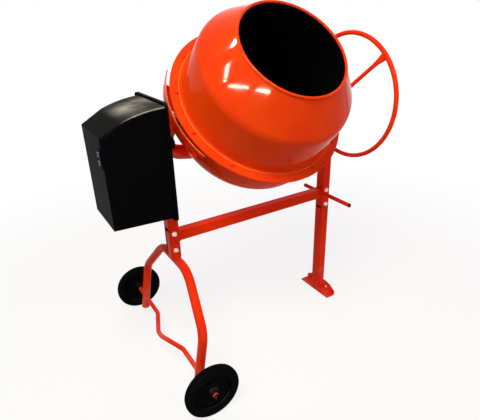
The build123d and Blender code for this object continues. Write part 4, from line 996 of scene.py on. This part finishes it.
class MIXER_OT_wheels(MixerOperator):
    """Solid tyres with a grooved, lugged tread and ringed sides, on stepped hubs"""

    bl_idname = "mixer.wheels"
    bl_label = "Wheels"

    steps_per_lug, notch_depth = 4, 0.0022
    web = 0.0025

    def execute(self, context):
        for wheel in ("front_wheel", "rear_wheel"):
            place = frame_at(middle(f"{wheel}_tyre"), BACK, ALONG)
            self.tyre(self.sizes, place, wheel)
            self.hub(self.sizes, place, wheel)
        return {"FINISHED"}

    def tyre(self, s, place, wheel):
        r, half = s.tyre_radius, s.tyre_half
        side = [
            (r - 0.0270, 0.0112), (r - 0.0215, 0.0126), (r - 0.0195, 0.0146), (r - 0.0165, 0.0146),
            (r - 0.0150, 0.0138), (r - 0.0120, half), (r - 0.0060, half), (r - 0.0024, 0.0115),
            (r - 0.0009, 0.0068), (r - 0.0030, 0.0060), (r - 0.0030, 0.0042), (r - 0.0004, 0.0034),
        ]
        steps = self.steps_per_lug * s.lugs
        shape = lathe(mirrored(side), {6: (0.0015, 3), 17: (0.0015, 3)}, place, steps)
        inward = place.inverted()
        notches = []
        for face in shape.faces:
            spot = inward @ face.calc_center_median()
            on_shoulder = spot.xy.length > r - 0.0055 and 0.0072 < abs(spot.z) < half - 0.0008
            if on_shoulder and sector(spot, steps) % self.steps_per_lug == 0:
                notches.append(face)
        for corner in pull_out(shape, notches):
            spot = inward @ corner.co
            corner.co = place @ (spot - Vector((spot.x, spot.y, 0)).normalized() * self.notch_depth)
        keep(f"{wheel}_rubber", shape, wheel, "tyre_rubber", stands_for=[f"{wheel}_tyre"], sharp=38)

    def hub(self, s, place, wheel):
        boss = half_size(f"{wheel}_hub").y
        seat = s.tyre_radius - 0.0272
        side = [
            (0.0091, boss), (0.0190, boss), (0.0190, 0.0052), (0.0300, 0.0034), (0.0310, self.web),
            (0.0520, self.web), (0.0530, 0.0036), (0.0570, 0.0036), (0.0580, self.web),
            (seat - 0.0056, self.web), (seat - 0.0050, 0.0112), (seat, 0.0112),
        ]
        bends = {1: (0.0012, 3), 2: (0.003, 4), 10: (0.0008, 2)}
        bends |= {2 * len(side) - 1 - at: bend for at, bend in bends.items()}
        shape = lathe(mirrored(side), bends, place, 72)
        keep(f"{wheel}_disc", shape, wheel, "black_plastic", stands_for=[f"{wheel}_hub"])


class MIXER_OT_hand_wheel(MixerOperator):
    """Hand wheel's spokes, flared where they are pressed onto the rim, with their welds"""

    bl_idname = "mixer.hand_wheel"
    bl_label = "Hand wheel"

    turns = (135.4, 315.4)
    sunk, short = 0.001, 0.002
    taper = (0.050, 0.012)
    pressed_from, pressed_over = 0.045, 0.030
    thinner, wider = 0.42, 0.25

    def execute(self, context):
        s = self.sizes
        hub, rim = middle("hand_wheel_hub"), middle("hand_wheel_rim")
        reach = half_size("hand_wheel_rim").y - half_size("hand_wheel_rim").x
        hub_radius = half_size("hand_wheel_hub").y
        shape, welds = bmesh.new(), bmesh.new()
        for turn in self.turns:
            end = rim + Vector((0, cos(radians(turn)), sin(radians(turn)))) * reach
            ahead = (end - hub).normalized()
            start = hub + ahead * (hub_radius - self.sunk)
            length = (end - start).length
            taper_start, taper_end = (length - before for before in self.taper)
            points = [
                (0, 0), (s.spoke_radius, 0), (s.spoke_radius, taper_start), (s.spoke_flare, taper_end),
                (s.spoke_flare, length - self.short), (0, length - self.short),
            ]
            spoke = lathe(points, {2: (0.020, 6), 3: (0.006, 4)}, frame_at(start, ahead), 32)
            foot = frame_at(end, ahead, ALONG)
            for corner in spoke.verts:
                if (corner.co - start).dot(ahead) > length - self.pressed_from:
                    spot = foot.inverted() @ corner.co
                    share = min(1, (spot.z + self.pressed_from) / self.pressed_over)
                    spot.x *= 1 - self.thinner * share
                    spot.y *= 1 + self.wider * share
                    corner.co = foot @ spot
            merge(shape, spoke)
            bead(welds, circle(frame_at(start + ahead * 0.0012, ahead), s.spoke_radius), 0.0022, True)
        keep("hand_wheel_arms", shape, "yoke", "orange_paint", stands_for=["hand_wheel_spokes"])
        keep("hand_wheel_welds", welds, "yoke", "orange_paint", sharp=60)
        return {"FINISHED"}


class MIXER_OT_welds(MixerOperator):
    """Weld beads of the stand: beam to posts, leg and ears to foot plate, axle and hoop"""

    bl_idname = "mixer.welds"
    bl_label = "Welds"

    def execute(self, context):
        s = self.sizes
        shape = bmesh.new()
        self.beam(shape, s)
        self.foot(shape, s)
        self.axle(shape, s)
        keep("stand_welds", shape, "stand", "orange_paint", sharp=60)
        return {"FINISHED"}

    def beam(self, shape, s):
        """Beads round both ends of the beam, cut across its corners."""
        inset = 0.001
        low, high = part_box("cross_beam")
        front, back, foot, top = low.y, high.y, low.z, high.z
        corners = (
            (front + inset, foot), (back - inset, foot), (back, foot + inset), (back, top - inset),
            (back - inset, top), (front + inset, top), (front, top - inset), (front, foot + inset),
        )
        for x in (low.x + inset, high.x - inset):
            bead(shape, [Vector((x, y, z)) for y, z in corners], s.weld * 0.8, True)

    def foot(self, shape, s):
        """Beads round the leg's foot, and along and up both ears."""
        low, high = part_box("right_leg")
        low_ear, high_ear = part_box("foot_gussets")
        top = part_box("foot_plate")[1].z
        route = [Vector((x, y, top)) for x, y in block(low.x, high.x, low.y, high.y)]
        bead(shape, route, s.weld * 0.8, True)
        for leg, end in ((low.y, low_ear.y), (high.y, high_ear.y)):
            flat = [Vector((low_ear.x, y, top)) for y in (leg, end - (end - leg) * 0.05)]
            upright = [Vector((low_ear.x, leg, z)) for z in (top, high_ear.z - 0.004)]
            for route in (flat, upright):
                bead(shape, route, s.weld * 0.6)

    def axle(self, shape, s):
        """Beads round the axle on both sides of the hoop's feet, and over the hoop below the post."""
        low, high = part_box("wheel_hoop")
        radius = half_size("axle").z
        tube = 0.0168
        spot = middle("front_wheel_hub")
        for side, edge in ((-1, low.y), (1, high.y)):
            for y in (edge, edge - side * 2 * tube):
                place = frame_at((spot.x, y, spot.z), BACK)
                bead(shape, circle(place, radius), s.weld * 0.75, True)
        post_low, post_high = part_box("left_post")
        for y in (post_low.y, post_high.y):
            place = frame_at((middle("left_post").x, y, high.z - tube), BACK)
            upper = [spot for spot in circle(place, tube + 0.0006, 36) if spot.z > post_low.z - 0.002]
            upper.sort(key=lambda spot: spot.x)
            bead(shape, upper, s.weld * 0.7)


class MIXER_OT_controls(MixerOperator):
    """Push buttons with dished faces, the switch's raised frame, and the lock's knob"""

    bl_idname = "mixer.controls"
    bl_label = "Controls"

    def execute(self, context):
        for button in ("start_button", "stop_button"):
            self.button(button)
        self.switch_frame()
        self.lock_knob()
        return {"FINISHED"}

    def button(self, node):
        shape = bmesh.new()
        bmesh.ops.create_cube(shape, size=2, matrix=Matrix.LocRotScale(middle(node), None, half_size(node)))
        soften(shape, shape.edges[:], 0.0014, 3, "EDGES")
        face = min(shape.faces, key=lambda face: (round(face.calc_center_median().x, 5), -face.calc_area()))
        bmesh.ops.inset_individual(shape, faces=[face], thickness=0.0012, depth=0)
        bmesh.ops.inset_individual(shape, faces=[face], thickness=0.0016, depth=-0.0009)
        keep(f"{node}_cap", shape, node, "blue_plastic", stands_for=[node])

    def switch_frame(self):
        """Thin raised lip round the switch's plate."""
        low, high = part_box("switch_box")
        shape = bmesh.new()
        wide, depth, sunk = 0.0016, 0.0012, 0.0002
        corners = block(low.y, high.y, low.z, high.z)
        shape.faces.new([shape.verts.new((low.x + sunk, y, z)) for y, z in corners])
        soften(shape, shape.verts[:], 0.003, 4)
        face = shape.faces[:][0]
        bmesh.ops.inset_individual(shape, faces=[face], thickness=wide, depth=0)
        bmesh.ops.delete(shape, geom=[face], context="FACES_ONLY")
        bmesh.ops.solidify(shape, geom=shape.faces[:], thickness=depth)
        keep("switch_lip", shape, "stand", "black_gloss")

    def lock_knob(self):
        """Ribbed grip on the tilt lock's pin."""
        low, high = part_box("lock_knob")
        spot = (low + high) / 2
        radius, height = (high.x - low.x) / 2, high.z - low.z
        steps, waist, rib = 60, 0.0020, 0.0014
        points = [
            (0, 0), (radius - 0.0008, 0), (radius - 0.0008, 0.005), (radius - waist, 0.0062),
            (radius - waist, height - 0.0092), (radius, height - 0.008), (radius, height), (0, height),
        ]
        place = frame_at((spot.x, spot.y, low.z), UP, ALONG)
        shape = lathe(points, {1: (0.0016, 4), 6: (0.0018, 4)}, place, steps)
        ribs = [
            face for face in shape.faces
            if low.z + 0.0065 < face.calc_center_median().z < high.z - 0.0095
            and sector(face.calc_center_median() - spot, steps) % 3 == 0
        ]
        for corner in pull_out(shape, ribs):
            corner.co += Vector((corner.co.x - spot.x, corner.co.y - spot.y, 0)).normalized() * rib
        keep("lock_grip", shape, "lock", "black_plastic", stands_for=["lock_knob"])


class MIXER_PT_panel(bpy.types.Panel):
    """Lists the mixer's pieces and settings"""

    bl_idname = "MIXER_PT_panel"
    bl_label = "Concrete mixer"
    bl_space_type = "VIEW_3D"
    bl_region_type = "UI"
    bl_category = "Mixer"

    def draw(self, context):
        for operator in OPERATORS:
            self.layout.operator(operator.bl_idname)
        for group in (context.scene.mixer_sizes, context.scene.mixer_colours):
            box = self.layout.box()
            for name in group.__annotations__:
                box.prop(group, name)


OPERATORS = (
    MIXER_OT_finishes,
    MIXER_OT_stage,
    MIXER_OT_drum_shells,
    MIXER_OT_drum_bolts,
    MIXER_OT_gear_guard,
    MIXER_OT_frame_bolts,
    MIXER_OT_wheels,
    MIXER_OT_hand_wheel,
    MIXER_OT_welds,
    MIXER_OT_controls,
)
CLASSES = (MixerSizes, MixerColours, *OPERATORS, MIXER_PT_panel)


def register():
    for cls in CLASSES:
        bpy.utils.register_class(cls)
    bpy.types.Scene.mixer_sizes = PointerProperty(type=MixerSizes)
    bpy.types.Scene.mixer_colours = PointerProperty(type=MixerColours)


def unregister():
    del bpy.types.Scene.mixer_sizes
    del bpy.types.Scene.mixer_colours
    for cls in reversed(CLASSES):
        bpy.utils.unregister_class(cls)


def main():
    register()
    for operator in OPERATORS:
        group, name = operator.bl_idname.split(".")
        getattr(getattr(bpy.ops, group), name)()


if __name__ == "__main__":
    main()
